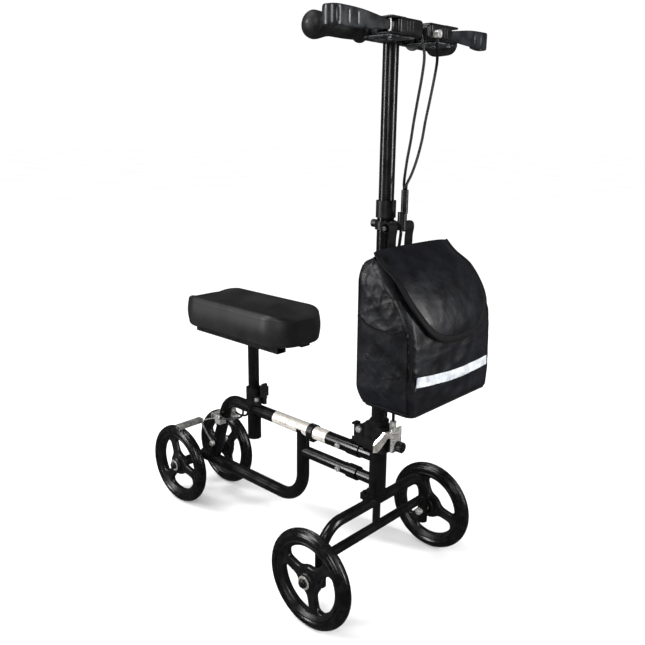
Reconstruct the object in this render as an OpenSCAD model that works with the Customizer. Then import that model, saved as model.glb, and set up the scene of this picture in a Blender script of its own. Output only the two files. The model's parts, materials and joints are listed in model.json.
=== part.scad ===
// Steerable four-wheel knee scooter with a folding column, a knee pad on a
// clamped post, two rear tyre brakes and a fabric bag.
// Millimetres. +X is forward, +Y is the rider's left, +Z is up, and the floor is z = 0.
// Most places are measured from the steering column's axis, which at_column() moves
// so that the origin lies at the centre of the whole object's footprint.

/* [Overall] */
// Distance between the front and the rear wheel axes
wheelbase = 580; // [560:5:640]
// Distance between the middles of the front tyres
front_track = 392; // [372:2:430]
// Distance between the middles of the rear tyres
rear_track = 150; // [146:2:176]
// Height of the handlebar's axis
bar_h = 1081; // [1040:1:1110]
// Height of the knee pad's rim
pad_h = 547; // [520:1:580]

/* [Wheels] */
// Outer diameter of the tyres
wheel_d = 200; // [190:1:204]
// Width of the tyres
tyre_w = 28; // [24:1:32]
// Diameter of the tyre's seat on the rim
rim_d = 160; // [150:1:168]
// Diameter of the wheel hub
hub_d = 38; // [34:1:44]
// Length of the wheel hub
hub_l = 30; // [26:1:34]
// Width of a wheel spoke
spoke_w = 24; // [16:1:28]
// Diameter of the axle bolts
axle_d = 8; // [6:0.5:10]
// Outer diameter of the wheel bearings
bearing_d = 22; // [19:1:26]
// Width of a wheel bearing
bearing_w = 7; // [5:1:8]

/* [Rear frame] */
// Diameter of the bent main tube
tube_d = 28.6; // [25:0.2:32]
// Wall of the frame tubes
tube_t = 1.8; // [1.2:0.1:2.5]
// Height of the top tube's axis
top_z = 284; // [270:1:300]
// Height of the lower tube's axis
lower_z = 104; // [100:1:120]
// Height of the lower link tube's axis
link_z = 230; // [215:1:240]
// Diameter of the lower link tube
link_d = 25.4; // [22:0.2:28]
// Bend radius at the front of the lower tube
loop_r = 70; // [50:1:80]
// Bend radius at the rear of the top tube
bend_r = 50; // [40:1:60]
// Distance from the column back to the loop's upright
loop_back = 213; // [195:1:230]
// Distance from the column back to the seat post
seat_back = 376; // [350:1:400]
// Distance from the column back to the end of the rear frame's sleeves
sleeve_back = 76; // [70:1:90]

/* [Steering] */
// Diameter of the steerer tube
steerer_d = 28.6; // [25:0.2:30]
// Diameter of the head tube
head_d = 35; // [33.5:0.5:40]
// Height of the head tube's lower end
head_z0 = 207; // [204:1:212]
// Height of the head tube's upper end
head_z1 = 300; // [296:1:304]
// Diameter of the axle's arched upper tube
arch_d = 22.2; // [19:0.2:25]
// Height of the arched tube's level stretch
arch_z = 190; // [180:1:190]
// Diameter of the axle's straight lower beam
beam_d = 19; // [16:0.5:22]
// Height of the lower beam's axis
beam_z = 129; // [122:1:136]
// Bend radius of the arched tube
arch_r = 55; // [45:1:60]

/* [Column] */
// Diameter of the lower column tube
column_d = 31.8; // [30.6:0.2:35]
// Diameter of the sliding upper tube
stem_d = 28.6; // [25.4:0.2:28.6]
// Height of the lower column's open top
column_top = 790; // [760:1:820]
// Height of the fold hinge's pin
hinge_z = 340; // [336:1:346]
// Distance from the column back to the hinge pin
hinge_back = 36; // [34:1:42]
// Diameter of the hinge pin
hinge_pin_d = 8; // [6:0.5:10]
// Radial clearance of the sliding tubes
slide_fit = 0.08; // [0.02:0.01:0.1]
// Radial clearance of the pins and bearings
pin_fit = 0.04; // [0.02:0.01:0.1]

/* [Handlebar] */
// Diameter of the crossbar
bar_d = 22.2; // [20:0.2:25.4]
// Distance from the column back to the crossbar
bar_back = 8; // [0:1:12]
// Distance from the middle to the end of a grip
grip_end = 200; // [180:1:215]
// Length of a grip
grip_l = 128; // [110:1:135]
// Distance from the middle to the outer end of a brake lever
lever_end = 226; // [210:1:240]
// Distance from the column forward to the lever's band
lever_front = 62; // [56:1:70]
// Height of a lever's band
lever_h = 30; // [22:1:34]

/* [Knee pad] */
// Length of the knee pad
pad_l = 351; // [320:1:380]
// Width of the knee pad
pad_w = 154; // [140:1:180]
// Thickness of the knee pad at its rim
pad_t = 71; // [60:1:80]
// Corner radius of the knee pad
pad_r = 60; // [40:1:68]
// Diameter of the seat post
post_d = 25.4; // [22:0.2:25.6]
// Diameter of the seat socket
socket_d = 31.8; // [31:0.2:36]
// Height of the seat socket's lower end
socket_z0 = 212; // [180:1:220]

/* [Bag] */
// Distance from the column forward to the bag's back
bag_gap = 38; // [34:1:50]
// Depth of the bag
bag_depth = 127; // [90:1:150]
// Width of the bag
bag_w = 250; // [200:1:280]
// Height of the bag's floor
bag_z0 = 448; // [430:1:470]
// Wall of the bag
bag_t = 3; // [2:0.5:4]

/* [Hidden] */
$fn = 48;
axle_z = wheel_d / 2;
rear_x = -wheelbase;
flap_gap = 0.6;
flap_t = 4.4;
front_reach = bag_gap + bag_depth + flap_gap + flap_t;
column_x = (wheelbase + wheel_d / 2 - front_reach) / 2;

// Wheels
spoke_angles = [108, 42, 49, 108];
opening_r0 = hub_d / 2 + 9;
opening_r1 = rim_d / 2 - 11;
web_t = 14;
rim_w = tyre_w - 4;
spacer_gap = 0.5;
spacer_d = 14;
washer_d = 18;
washer_t = 1.6;
axle_nut_d = 14.5;
axle_nut_t = 5.4;

// Rear frame
rake = 20;
bore_d = tube_d - 2 * tube_t;
loop_x = -loop_back;
seat_x = -seat_back;
foot_x = rear_x + 45;
bend_end_z = top_z - bend_r + bend_r * sin(180 - rake);
bend_x = foot_x + (bend_end_z - lower_z) * tan(rake) - bend_r * cos(180 - rake);
rear_axle_d = 25;
rear_axle_half = rear_track / 2 - hub_l / 2 - 2;
sleeve_end = -sleeve_back;
stub_l = 50;
joint_bolt_x = sleeve_end - 20;
joint_bolt_d = 6;

// Steering
front_leg_y = front_track / 2 - hub_l / 2 - 3 - arch_d / 2;
leg_z0 = 72;
steerer_top = 330;
stop_bolt_x = -27;
stop_bolt_y = 7;
stop_bolt_d = 5;
base_z0 = 303.5;
base_z1 = 330;
head_block_z0 = 330.6;
head_block_z1 = 356;
block_half = 19;
block_front = 27;
block_back = 24;
ear_r = 10;
ear_t = 8;
clamp_x = block_front + 16;
lever_pivot = [clamp_x + 7, -14];
lever_pin_d = 6;
lever_z0 = 346;
lever_z1 = 357;
latch_x = -hinge_back - 20;
clamp_bolt_z = 323;
clamp_bolt_d = 6;
clamp_knob_d = 22;

// Column
collar_d = 37;
collar_z0 = 766;
collar_z1 = 797;
stem_z0 = 560;
height_knob_z = 753;
bracket_z0 = 744;
bracket_z1 = 760;

// Handlebar
bar_half = grip_end - 4;
grip_d = 34;
housing_y0 = 10;
housing_y1 = 93;
lever_pivot_y = 84;
lever_t = 5;
curl_r = 14;
lever_z = bar_h + 2;

// Seat
pad_z0 = pad_h - pad_t;
board_t = 8;
board_inset = 12;
dish_r = 130;
dish_depth = 12;
rail_h = 18;
rail_w = 25;
rail_y = 37;
rail_x0 = seat_x - 146;
rail_x1 = seat_x + 134;
pad_x = seat_x - 3.5;
rail_z0 = pad_z0 - rail_h;
socket_top = 330;
seat_collar_z0 = 301;
seat_collar_z1 = 338;
seat_slot = 8;
seat_pivot_x = seat_x + 25;
seat_pivot_z = 316;

// Rear brakes
arm_pivot = [foot_x + (158 - lower_z) * tan(rake), 158];
arm_bar_dx = 20;
arm_bar_x = rear_x + arm_bar_dx;
arm_gap = 4;
arm_bar_z = axle_z + sqrt(pow(wheel_d / 2, 2) - pow(arm_bar_dx, 2)) + arm_gap;
arm_y = tube_d / 2 + 4;

// Bag
bag_x0 = bag_gap;
bag_x1 = bag_gap + bag_depth;
bag_back_z = 712;
bag_crest = [bag_x0 + 34, 730];
bag_front_z = 614;

// Points along the middle of each brake cable, from the lever to the frame
cable_left = [[81, 22, 1071], [81, 22, 1066], [78, 26, 1056], [74, 34, 1046], [69, 41, 1032],
    [64, 42, 1006], [60, 38, 972], [55, 34, 935], [52, 31, 905], [48, 24, 872], [45, 14, 846],
    [42, 5, 829], [42, 3.2, 823], [42, 3.2, 818.3]];
cable_right = [[62, -2, 1080], [63, 1, 1076], [64, 2.5, 1068], [67, 4, 1054], [68, 5, 1036],
    [65, 4, 1006], [60, 2, 971], [55, 0, 935], [52, -2, 905], [48, -5, 872], [45, -6, 846],
    [42, -4, 829], [42, -3.2, 823], [42, -3.2, 818.3]];
cable_lower = [[36, 0, 745.7], [36, 0, 738], [34, 0, 722], [31, 0, 695], [29.5, 0, 640],
    [29, 0, 560], [30, 0, 490], [32, 0, 445], [34, 0, 405], [34.5, 0, 385], [34.5, 0, 372]];
cable_rear_left = [[-408, 8, 274], [-408, 8, 266], [-411, 8.5, 259], [-418, 10, 252], [-430, 13, 247],
    [-446, 18, 242], [-458, 22, 239.5], [-467, 24, 239], [-473.8, 24, 239]];
cable_rear_right = [for (p = cable_rear_left) [p[0], -p[1], p[2]]];
sheath_z = 818;
strap_bar_x = 29;
strap_bar_z = 751;
strap_bar_d = 8;
cable_d = 5;

// ---- placing and drawing helpers ----
module at_column() { translate([column_x, 0, 0]) children(); }
module both_sides() { children(); mirror([0, 1, 0]) children(); }
module along_x(x0, x1, y, z, d) { translate([x0, y, z]) rotate([0, 90, 0]) cylinder(d = d, h = x1 - x0); }
module along_y(y0, y1, x, z, d) { translate([x, y0, z]) rotate([-90, 0, 0]) cylinder(d = d, h = y1 - y0); }
module along_z(z0, z1, x, y, d) { translate([x, y, z0]) cylinder(d = d, h = z1 - z0); }
module block(x0, x1, y0, y1, z0, z1) { translate([x0, y0, z0]) cube([x1 - x0, y1 - y0, z1 - z0]); }
module hex_y(y0, y1, x, z, d) {
    translate([x, y0, z]) rotate([-90, 0, 0]) cylinder(d = d, h = y1 - y0, $fn = 6);
}
module hex_z(z0, z1, x, y, d) { translate([x, y, z0]) cylinder(d = d, h = z1 - z0, $fn = 6); }

// Round bar in the side plane between two [x, z] points
module side_bar(p, q, d) {
    v = q - p;
    rotate([90, 0, 0]) translate([p[0], p[1], 0]) rotate([0, 0, atan2(v[1], v[0])])
        rotate([0, 90, 0]) cylinder(d = d, h = norm(v));
}
// Bent bar in the side plane about an [x, z] centre, from angle a0 to a1
module side_bend(c, r, a0, a1, d) {
    rotate([90, 0, 0]) translate([c[0], c[1], 0]) rotate([0, 0, a0])
        rotate_extrude(angle = a1 - a0) translate([r, 0]) circle(d = d);
}
// The same two in the front plane, with [y, z] points
module front_bar(p, q, d) { rotate([0, 0, 90]) side_bar(p, q, d); }
module front_bend(c, r, a0, a1, d) { rotate([0, 0, 90]) side_bend(c, r, a0, a1, d); }

// Flat rounded rectangle about the origin
module rounded(l, w, r) {
    square([l - 2 * r, w], center = true);
    square([l, w - 2 * r], center = true);
    for (x = [-1, 1], y = [-1, 1]) translate([x * (l / 2 - r), y * (w / 2 - r)]) circle(r);
}

// Round tube swept along points: a ring of n corners at each point, faces between them
function unit(v) = v / norm(v);
function heading(p, i) = unit(p[min(i + 1, len(p) - 1)] - p[max(i - 1, 0)]);
function side_of(t) = unit(cross(t, abs(t[1]) > 0.9 ? [1, 0, 0] : [0, 1, 0]));
function ring(p, i, r, n) =
    let(t = heading(p, i), u = side_of(t), v = cross(t, u))
    [for (k = [0:n - 1]) p[i] + r * (cos(360 * k / n) * u + sin(360 * k / n) * v)];
module cable(p, d, n = 8) {
    last = len(p) - 1;
    polyhedron(
        points = [for (i = [0:last]) each ring(p, i, d / 2, n)],
        faces = concat(
            [[for (k = [0:n - 1]) k]],
            [for (i = [0:last - 1], k = [0:n - 1])
                [i * n + k, (i + 1) * n + k, (i + 1) * n + (k + 1) % n, i * n + (k + 1) % n]],
            [[for (k = [n - 1:-1:0]) last * n + k]]));
}

// ---- rear frame ----
module loop_path(d) {
    side_bar([rear_x, lower_z], [loop_x - loop_r, lower_z], d);
    side_bend([loop_x - loop_r, lower_z + loop_r], loop_r, 270, 360, d);
    side_bar([loop_x, lower_z + loop_r], [loop_x, top_z], d);
}
module top_path(d) {
    side_bar([sleeve_end, top_z], [bend_x, top_z], d);
    side_bend([bend_x, top_z - bend_r], bend_r, 90, 180 - rake, d);
    side_bar([bend_x + bend_r * cos(180 - rake), bend_end_z], [foot_x, lower_z], d);
}
module main_frame() {
    color("#0d0d0f") at_column() difference() {
        union() {
            loop_path(tube_d);
            top_path(tube_d);
            along_z(socket_z0, socket_top, seat_x, 0, socket_d);
            along_x(loop_x, sleeve_end, 0, link_z, link_d);
            along_y(-rear_axle_half, rear_axle_half, rear_x, axle_z, rear_axle_d);
        }
        // the straight stretches are hollow, and their front ends take the head tube's stubs
        along_x(bend_x, seat_x - socket_d / 2 - 1, 0, top_z, bore_d);
        along_x(seat_x + socket_d / 2 + 1, sleeve_end + 1, 0, top_z, bore_d);
        along_x(loop_x + tube_d / 2 + 1, sleeve_end + 1, 0, link_z, link_d - 2 * tube_t);
        along_x(rear_x + rear_axle_d / 2 + 1, loop_x - loop_r, 0, lower_z, bore_d);
        along_z(lower_z + loop_r, top_z - tube_d / 2 - 1, loop_x, 0, bore_d);
        for (z = [top_z, link_z]) along_y(-40, 40, joint_bolt_x, z, joint_bolt_d + 0.4);
        // bore of the seat socket, with the bush's seat at its top
        along_z(socket_z0 - 1, socket_top + 1, seat_x, 0, socket_d - 2 * tube_t);
        // bore for the rear axle bolts, and the brake arms' pin
        along_y(-200, 200, rear_x, axle_z, axle_d + 0.2);
        along_y(-40, 40, arm_pivot[0], arm_pivot[1], 6.2);
        for (y = [-8, 8]) along_z(top_z - tube_d, top_z, cable_rear_left[0][0], y, cable_d + 0.8);
    }
}
module frame_joint_bolts() {
    color("silver") at_column() for (zd = [[top_z, tube_d], [link_z, link_d]]) {
        half = zd[1] / 2;
        along_y(-half - 1, half + 1, joint_bolt_x, zd[0], joint_bolt_d);
        along_y(-half - 4.5, -half - 0.5, joint_bolt_x, zd[0], 12);
        hex_y(half + 0.5, half + 5.5, joint_bolt_x, zd[0], 11.5);
    }
}
module frame_label_band() {
    color("#c9c6c0") at_column() difference() {
        union() {
            along_x(loop_x - 86, loop_x + 22, 0, top_z, tube_d + 0.8);
            along_x(loop_x + 41, loop_x + 78, 0, top_z, tube_d + 0.8);
        }
        along_x(loop_x - 90, loop_x + 90, 0, top_z, tube_d + 0.1);
        along_z(0, top_z, loop_x, 0, tube_d + 4);
    }
}
module frame_band_clip() {
    color("#141414") at_column() difference() {
        union() {
            along_x(loop_x + 24, loop_x + 39, 0, top_z, tube_d + 6);
            block(loop_x + 26, loop_x + 37, -6, 6, top_z - tube_d / 2 - 8, top_z - tube_d / 2 - 1);
        }
        along_x(loop_x, loop_x + 60, 0, top_z, tube_d + 0.1);
    }
}
module rear_axle_bolts() {
    outer = rear_track / 2 + hub_l / 2 + spacer_gap;
    color("silver") at_column() both_sides() {
        along_y(rear_axle_half - 30, outer + 2, rear_x, axle_z, axle_d);
        along_y(outer, outer + washer_t, rear_x, axle_z, washer_d);
        hex_y(outer + washer_t, outer + washer_t + axle_nut_t, rear_x, axle_z, axle_nut_d);
        difference() {
            along_y(rear_axle_half, rear_track / 2 - hub_l / 2 - spacer_gap, rear_x, axle_z, spacer_d);
            along_y(0, 100, rear_x, axle_z, axle_d - 0.2);
        }
    }
}

// ---- head tube, bushes and their frame stubs ----
module head_tube() {
    color("#0d0d0f") at_column() difference() {
        union() {
            along_z(head_z0, head_z1, 0, 0, head_d);
            along_x(sleeve_end - stub_l, 0, 0, top_z, tube_d - 2 * tube_t - 0.1);
            along_x(sleeve_end - stub_l, 0, 0, link_z, link_d - 2 * tube_t - 0.1);
            along_x(sleeve_end, sleeve_end + 32, 0, top_z, min(tube_d + 6, 2 * (head_z1 - top_z)));
            along_x(sleeve_end, 0, 0, top_z, tube_d - 2);
            along_x(sleeve_end, sleeve_end + 26, 0, link_z, link_d + 5);
            along_x(sleeve_end, 0, 0, link_z, link_d - 2);
        }
        along_z(head_z0 - 1, head_z1 + 1, 0, 0, head_d - 2 * tube_t);
        for (z = [top_z, link_z]) along_y(-40, 40, joint_bolt_x, z, joint_bolt_d + 0.4);
    }
}
module bush(z0, z1) {
    difference() {
        along_z(z0, z1, 0, 0, head_d - 2 * tube_t);
        along_z(z0 - 1, z1 + 1, 0, 0, steerer_d + 2 * pin_fit);
    }
}
module tube_bushes() {
    color("#26262a") at_column() {
        bush(head_z0, head_z0 + 24);
        bush(head_z1 - 24, head_z1);
        difference() {
            along_z(socket_top - 50, socket_top, seat_x, 0, socket_d - 2 * tube_t);
            along_z(socket_z0, socket_top + 1, seat_x, 0, post_d + 2 * slide_fit);
        }
    }
}

// ---- front axle, which turns with the steerer ----
module axle_arch_tube() {
    y = front_leg_y;
    color("#0d0d0f") at_column() difference() {
        union() {
            front_bar([-(y - arch_r), arch_z], [y - arch_r, arch_z], arch_d);
            front_bend([y - arch_r, arch_z - arch_r], arch_r, 0, 90, arch_d);
            front_bend([-(y - arch_r), arch_z - arch_r], arch_r, 90, 180, arch_d);
            for (s = [-1, 1]) along_z(leg_z0, arch_z - arch_r, 0, s * y, arch_d);
        }
        along_y(-y - 40, y + 40, 0, axle_z, axle_d + 0.2);
    }
}
module axle_lower_beam() {
    color("#0d0d0f") at_column() difference() {
        union() {
            along_y(-front_leg_y, front_leg_y, 0, beam_z, beam_d);
            along_z(beam_z, arch_z, 0, 0, 16);
        }
        for (s = [-1, 1]) along_z(leg_z0, arch_z, 0, s * front_leg_y, arch_d);
        along_y(-60, 60, 0, arch_z, arch_d);
    }
}
module steerer_tube() {
    color("#0d0d0f") at_column() difference() {
        union() {
            along_z(arch_z, steerer_top, 0, 0, steerer_d);
            along_z(arch_z + 6, head_z0 - 1.2, 0, 0, head_d);
        }
        along_y(-60, 60, 0, arch_z, arch_d);
        along_z(arch_z + arch_d / 2 + 6, steerer_top + 1, 0, 0, steerer_d - 2 * tube_t);
    }
}
module steering_stop() {
    color("#141414") at_column() {
        difference() {
            block(-34, -8, -13, 13, arch_z - 6, arch_z + 8);
            along_y(-60, 60, 0, arch_z, arch_d);
            along_z(arch_z - 10, arch_z + 20, 0, 0, head_d);
            for (y = [-1, 1] * stop_bolt_y)
                along_z(arch_z - 10, arch_z + 20, stop_bolt_x, y, stop_bolt_d + 0.4);
        }
        for (y = [-1, 1] * stop_bolt_y) {
            along_z(arch_z - 7, arch_z + 9, stop_bolt_x, y, stop_bolt_d);
            hex_z(arch_z + 8.2, arch_z + 12, stop_bolt_x, y, stop_bolt_d + 4);
            hex_z(arch_z - 10, arch_z - 6.2, stop_bolt_x, y, stop_bolt_d + 4);
        }
    }
}
module front_axle_bolts() {
    outer = front_track / 2 + hub_l / 2 + spacer_gap;
    leg_in = front_leg_y - arch_d / 2;
    color("silver") at_column() both_sides() {
        along_y(leg_in - 9, outer + 2, 0, axle_z, axle_d);
        along_y(outer, outer + washer_t, 0, axle_z, washer_d);
        hex_y(outer + washer_t, outer + washer_t + axle_nut_t, 0, axle_z, axle_nut_d);
        hex_y(leg_in - 7, leg_in - 1, 0, axle_z, axle_nut_d);
        difference() {
            along_y(leg_in - 1, front_track / 2 - hub_l / 2 - spacer_gap, 0, axle_z, spacer_d);
            along_z(leg_z0, arch_z, 0, front_leg_y, arch_d + 0.1);
            along_y(0, 300, 0, axle_z, axle_d - 0.2);
        }
    }
}

// ---- folding joint ----
module fold_base() {
    color("#121214") at_column() difference() {
        union() {
            block(-block_back, block_front, -block_half, block_half, base_z0, base_z1);
            block(block_front - 1, clamp_x - 0.4, -10, 10, base_z0 + 6, base_z1);
            both_sides() {
                block(-hinge_back - 6, -block_back + 1, block_half - ear_t, block_half, base_z0 + 3, base_z1);
                side_ear(block_half - ear_t, block_half);
            }
            both_sides() block(latch_x - 5, -hinge_back - 4, 8.6, 11.6, base_z0 + 2, base_z0 + 12);
            along_y(-11, 11, latch_x, base_z0 + 7, 3);
            block(-hinge_back - 6, -block_back + 1, -block_half, block_half, base_z0 + 3, base_z0 + 14);
        }
        along_z(base_z0 - 1, base_z1 + 1, 0, 0, steerer_d + 0.1);
        along_y(-40, 40, -hinge_back, hinge_z, hinge_pin_d + 0.1);
        along_x(0, clamp_x + 17, 0, clamp_bolt_z, clamp_bolt_d + 0.2);
    }
}
module side_ear(y0, y1) {
    along_y(y0, y1, -hinge_back, hinge_z, 2 * ear_r);
    block(-hinge_back - ear_r, -hinge_back + ear_r, y0, y1, base_z0 + 10, hinge_z);
}
module fold_head() {
    knuckle = block_half - ear_t - 0.4;
    color("#121214") at_column() difference() {
        union() {
            block(-block_back, block_front, -block_half, block_half, head_block_z0, head_block_z1);
            block(block_front - 1, clamp_x - 1, -10, 10, head_block_z0, head_block_z1 - 6);
            along_y(-knuckle, knuckle, -hinge_back, hinge_z, 2 * ear_r - 3);
            block(-hinge_back, -block_back + 1, -knuckle, knuckle, hinge_z - 6, hinge_z + ear_r - 1.5);
            along_z(head_block_z1 - 1, head_block_z1 + 10, 0, 0, column_d + 7);
        }
        along_z(head_block_z0 + 4, head_block_z1 + 20, 0, 0, column_d + 0.1);
        along_y(-40, 40, -hinge_back, hinge_z, hinge_pin_d + 2 * pin_fit);
    }
}
module fold_hinge_pin() {
    color("silver") at_column() {
        along_y(-block_half - 2, block_half + 2, -hinge_back, hinge_z, hinge_pin_d);
        both_sides() along_y(block_half + 0.1, block_half + 3.5, -hinge_back, hinge_z, 13);
    }
}
module clamp_jaw() {
    color("silver") at_column() {
        difference() {
            union() {
                block(clamp_x, clamp_x + 4, lever_pivot[1] - 4, 12, clamp_bolt_z - 8, lever_z1 + 4);
                along_z(lever_z0 - 5, lever_z0 - 0.3, lever_pivot[0], lever_pivot[1], 13);
                along_z(lever_z1 + 0.3, lever_z1 + 4, lever_pivot[0], lever_pivot[1], 13);
            }
            along_x(0, clamp_x + 37, 0, clamp_bolt_z, clamp_bolt_d + 0.4);
            along_z(300, 360, lever_pivot[0], lever_pivot[1], lever_pin_d - 0.1);
            block(clamp_x - 5, clamp_x + 17, lever_pivot[1] - 16, lever_pivot[1] + 7,
                lever_z0 - 0.3, lever_z1 + 0.3);
        }
        along_z(lever_z0 - 5, lever_z1 + 5, lever_pivot[0], lever_pivot[1], lever_pin_d);
    }
}
module clamp_knob() {
    color("#161616") at_column() {
        along_x(steerer_d / 2 + 3, clamp_x + 8, 0, clamp_bolt_z, clamp_bolt_d);
        difference() {
            along_x(clamp_x + 4.2, clamp_x + 17, 0, clamp_bolt_z, clamp_knob_d);
            // a ring of flutes round the rim
            for (a = [0:30:330]) rotate_about_x(a, clamp_bolt_z)
                along_x(clamp_x, clamp_x + 30, 0, clamp_bolt_z + clamp_knob_d / 2 + 1, 4);
        }
    }
}
module rotate_about_x(a, z) { translate([0, 0, z]) rotate([a, 0, 0]) translate([0, 0, -z]) children(); }
module fold_clamp_lever() {
    px = lever_pivot[0];
    py = lever_pivot[1];
    handle_r = 45;
    color("silver") at_column() difference() {
        union() {
            along_z(lever_z0, lever_z1, px, py, 13);
            translate([0, 0, lever_z0]) linear_extrude(lever_z1 - lever_z0)
                polygon([[px - 5, py - 4], [px + 5, py - 4], [43, -26], [34.5, -27], [40, -18]]);
            // strip round the column, cut to a band that slopes down to its end
            intersection() {
                translate([0, 0, lever_z0 - 40]) linear_extrude(60) difference() {
                    circle(handle_r + 1.75, $fn = 96);
                    circle(handle_r - 1.75, $fn = 96);
                    translate([-60, -24]) square([120, 90]);
                    translate([-60, -60]) square([80, 60]);
                }
                rotate([90, 0, 90]) linear_extrude(60)
                    polygon([[-23, lever_z1], [-28, lever_z1], [-44, lever_z1 - 32], [-44, lever_z1 - 44],
                        [-38, lever_z1 - 42], [-23, lever_z0 - 1]]);
            }
        }
        along_z(lever_z0 - 1, lever_z1 + 1, px, py, lever_pin_d + 2 * pin_fit);
    }
}
module fold_latch() {
    x = latch_x;
    color("#161616") at_column() difference() {
        union() {
            along_y(-8, 8, x, base_z0 + 7, 7);
            block(x - 3, x + 1, -8, 8, base_z0 + 7, base_z0 + 40);
            block(x - 9, x + 1, -8, 8, base_z0 + 36, base_z0 + 40);
        }
        along_y(-20, 20, x, base_z0 + 7, 3 + 2 * pin_fit);
    }
}

// ---- column ----
module column_tube() {
    color("#0d0d0f") at_column() difference() {
        along_z(head_block_z0 + 4.2, column_top, 0, 0, column_d);
        along_z(head_block_z0 + 8, column_top + 1, 0, 0, stem_d + 2 * slide_fit);
        along_x(-40, 0, 0, height_knob_z, 6.3);
    }
}
module height_collar() {
    color("#1b1b1d") at_column() difference() {
        along_z(collar_z0, collar_z1, 0, 0, collar_d);
        along_z(collar_z0 - 1, column_top + 0.2, 0, 0, column_d + 0.1);
        along_z(column_top, collar_z1 + 1, 0, 0, stem_d + 0.8);
    }
}
module height_knob() {
    color("#161616") at_column() {
        along_x(-column_d / 2 - 6, -stem_d / 2 - 0.4, 0, height_knob_z, 6);
        along_x(-column_d / 2 - 14, -column_d / 2 - 2, 0, height_knob_z, 15);
    }
}
module cable_bracket() {
    color("#161616") at_column() difference() {
        union() {
            along_z(bracket_z0, bracket_z1, 0, 0, column_d + 7);
            block(column_d / 2, 44, -9, 9, bracket_z0 + 2, bracket_z1);
            along_y(-40, 40, strap_bar_x, strap_bar_z, strap_bar_d);
            along_z(bracket_z0 + 2, sheath_z - 40, 38, 0, 17);
            along_z(sheath_z - 42, sheath_z, cable_left[len(cable_left) - 1][0], 0, 13);
        }
        along_z(bracket_z0 - 1, bracket_z1 + 1, 0, 0, column_d + 0.1);
        block(-40, 0, -9, 9, bracket_z0 - 1, bracket_z1 + 1);
    }
}
module cable_adjuster() {
    x = cable_lower[len(cable_lower) - 1][0];
    z0 = head_block_z1 - 6;
    z1 = cable_lower[len(cable_lower) - 1][2] - 0.3;
    color("#9a9a9a") at_column() {
        difference() {
            along_z(z0 + 0.2, z1, x, 0, 13);
            block(x - 10, x + 10, -10, 10, z0 + 6, z0 + 8);
        }
        along_z(z0 + 0.2, z1, x, 0, 8);
    }
}

// ---- handlebar ----
module handlebar_tube() {
    x = -bar_back;
    color("#0d0d0f") at_column() difference() {
        union() {
            along_z(stem_z0, bar_h, 0, 0, stem_d);
            along_y(-bar_half, bar_half, x, bar_h, bar_d);
            along_y(-24, 24, x, bar_h, bar_d + 8);
        }
        along_z(stem_z0 - 1, bar_h - bar_d / 2 - 8, 0, 0, stem_d - 2 * tube_t);
        for (s = [-1, 1]) along_y(s > 0 ? 26 : -300, s > 0 ? 300 : -26, x, bar_h, bar_d - 2 * tube_t);
        for (k = [0:7]) along_x(-40, 0, 0, height_knob_z + 20 + k * 25, 6.5);
    }
}
module grips() { color("#151516") at_column() both_sides() grip(); }
module grip() {
    x = -bar_back;
    inner = grip_end - grip_l;
    difference() {
        union() {
            along_y(inner, grip_end, x, bar_h, grip_d);
            along_y(inner, inner + 6, x, bar_h, grip_d + 6);
            hull() {
                translate([x - 4, grip_end - 20, bar_h - 2]) sphere(d = 38, $fn = 28);
                translate([x - 24, grip_end - 34, bar_h - 8]) sphere(d = 18, $fn = 20);
                translate([x, grip_end - 70, bar_h]) sphere(d = 34, $fn = 28);
            }
        }
        along_y(0, bar_half, x, bar_h, bar_d);
    }
}
module scale_y(s) { if (s > 0) children(); else mirror([0, 1, 0]) children(); }
module lever_housings() { color("#1a1a1b") at_column() both_sides() lever_housing(); }
module lever_housing() {
    z0 = lever_z - 15;
    difference() {
        union() {
            block(lever_front - 20, lever_front + 14, housing_y0, housing_y1, z0, z0 + 28);
            block(lever_front - 16, lever_front + 10, housing_y0 - 3, housing_y0 + 1, z0 + 4, z0 + 24);
        }
        block(lever_front - 14, lever_front + 30, lever_pivot_y - 24, housing_y1 + 1, z0 + 4, z0 + 24);
        along_z(z0 - 1, z0 + 40, lever_front, lever_pivot_y, 6.1);
    }
}
module lever_plates() { color("#8f9194") at_column() both_sides() lever_plate(); }
module lever_plate() {
    z1 = lever_z - 15.2;
    x = -bar_back;
    difference() {
        union() {
            block(x, 30, 30, 58, z1 - 3, z1);
            block(16, lever_front + 10, 30, housing_y1 + 6, z1 - 3, z1);
            along_y(30, 58, x, bar_h, bar_d + 7);
        }
        along_y(20, 70, x, bar_h, bar_d + 0.1);
        block(22, 34, 38, 82, z1 - 4, z1 + 1);
        along_z(z1 - 4, z1 + 1, lever_front, lever_pivot_y, 6.1);
    }
}
module left_brake_lever() { brake_lever(1); }
module right_brake_lever() { brake_lever(-1); }
module brake_lever(s) {
    xf = lever_front;
    t = lever_t;
    c = [xf - curl_r, lever_end - t / 2 - curl_r];
    color("#161617") at_column() scale_y(s) intersection() {
        translate([0, 0, lever_z - lever_h / 2]) linear_extrude(lever_h) difference() {
            union() {
                translate([xf, lever_pivot_y]) circle(9);
                translate([xf - t / 2, lever_pivot_y]) square([t, c[1] - lever_pivot_y]);
                translate(c) difference() {
                    circle(curl_r + t / 2);
                    circle(curl_r - t / 2);
                    translate([-50, -100]) square([100, 100]);
                }
            }
            translate([xf, lever_pivot_y]) circle(3 + pin_fit);
        }
        // the band is low in the housing and rises to its full height outside it
        translate([-100, 0, lever_z]) rotate([90, 0, 90]) linear_extrude(300)
            polygon([[0, -9], [housing_y1 + 8, -9], [housing_y1 + 60, -lever_h / 2], [400, -lever_h / 2],
                [400, lever_h / 2], [housing_y1 + 60, lever_h / 2], [housing_y1 + 8, 7], [0, 7]]);
    }
}
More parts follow.
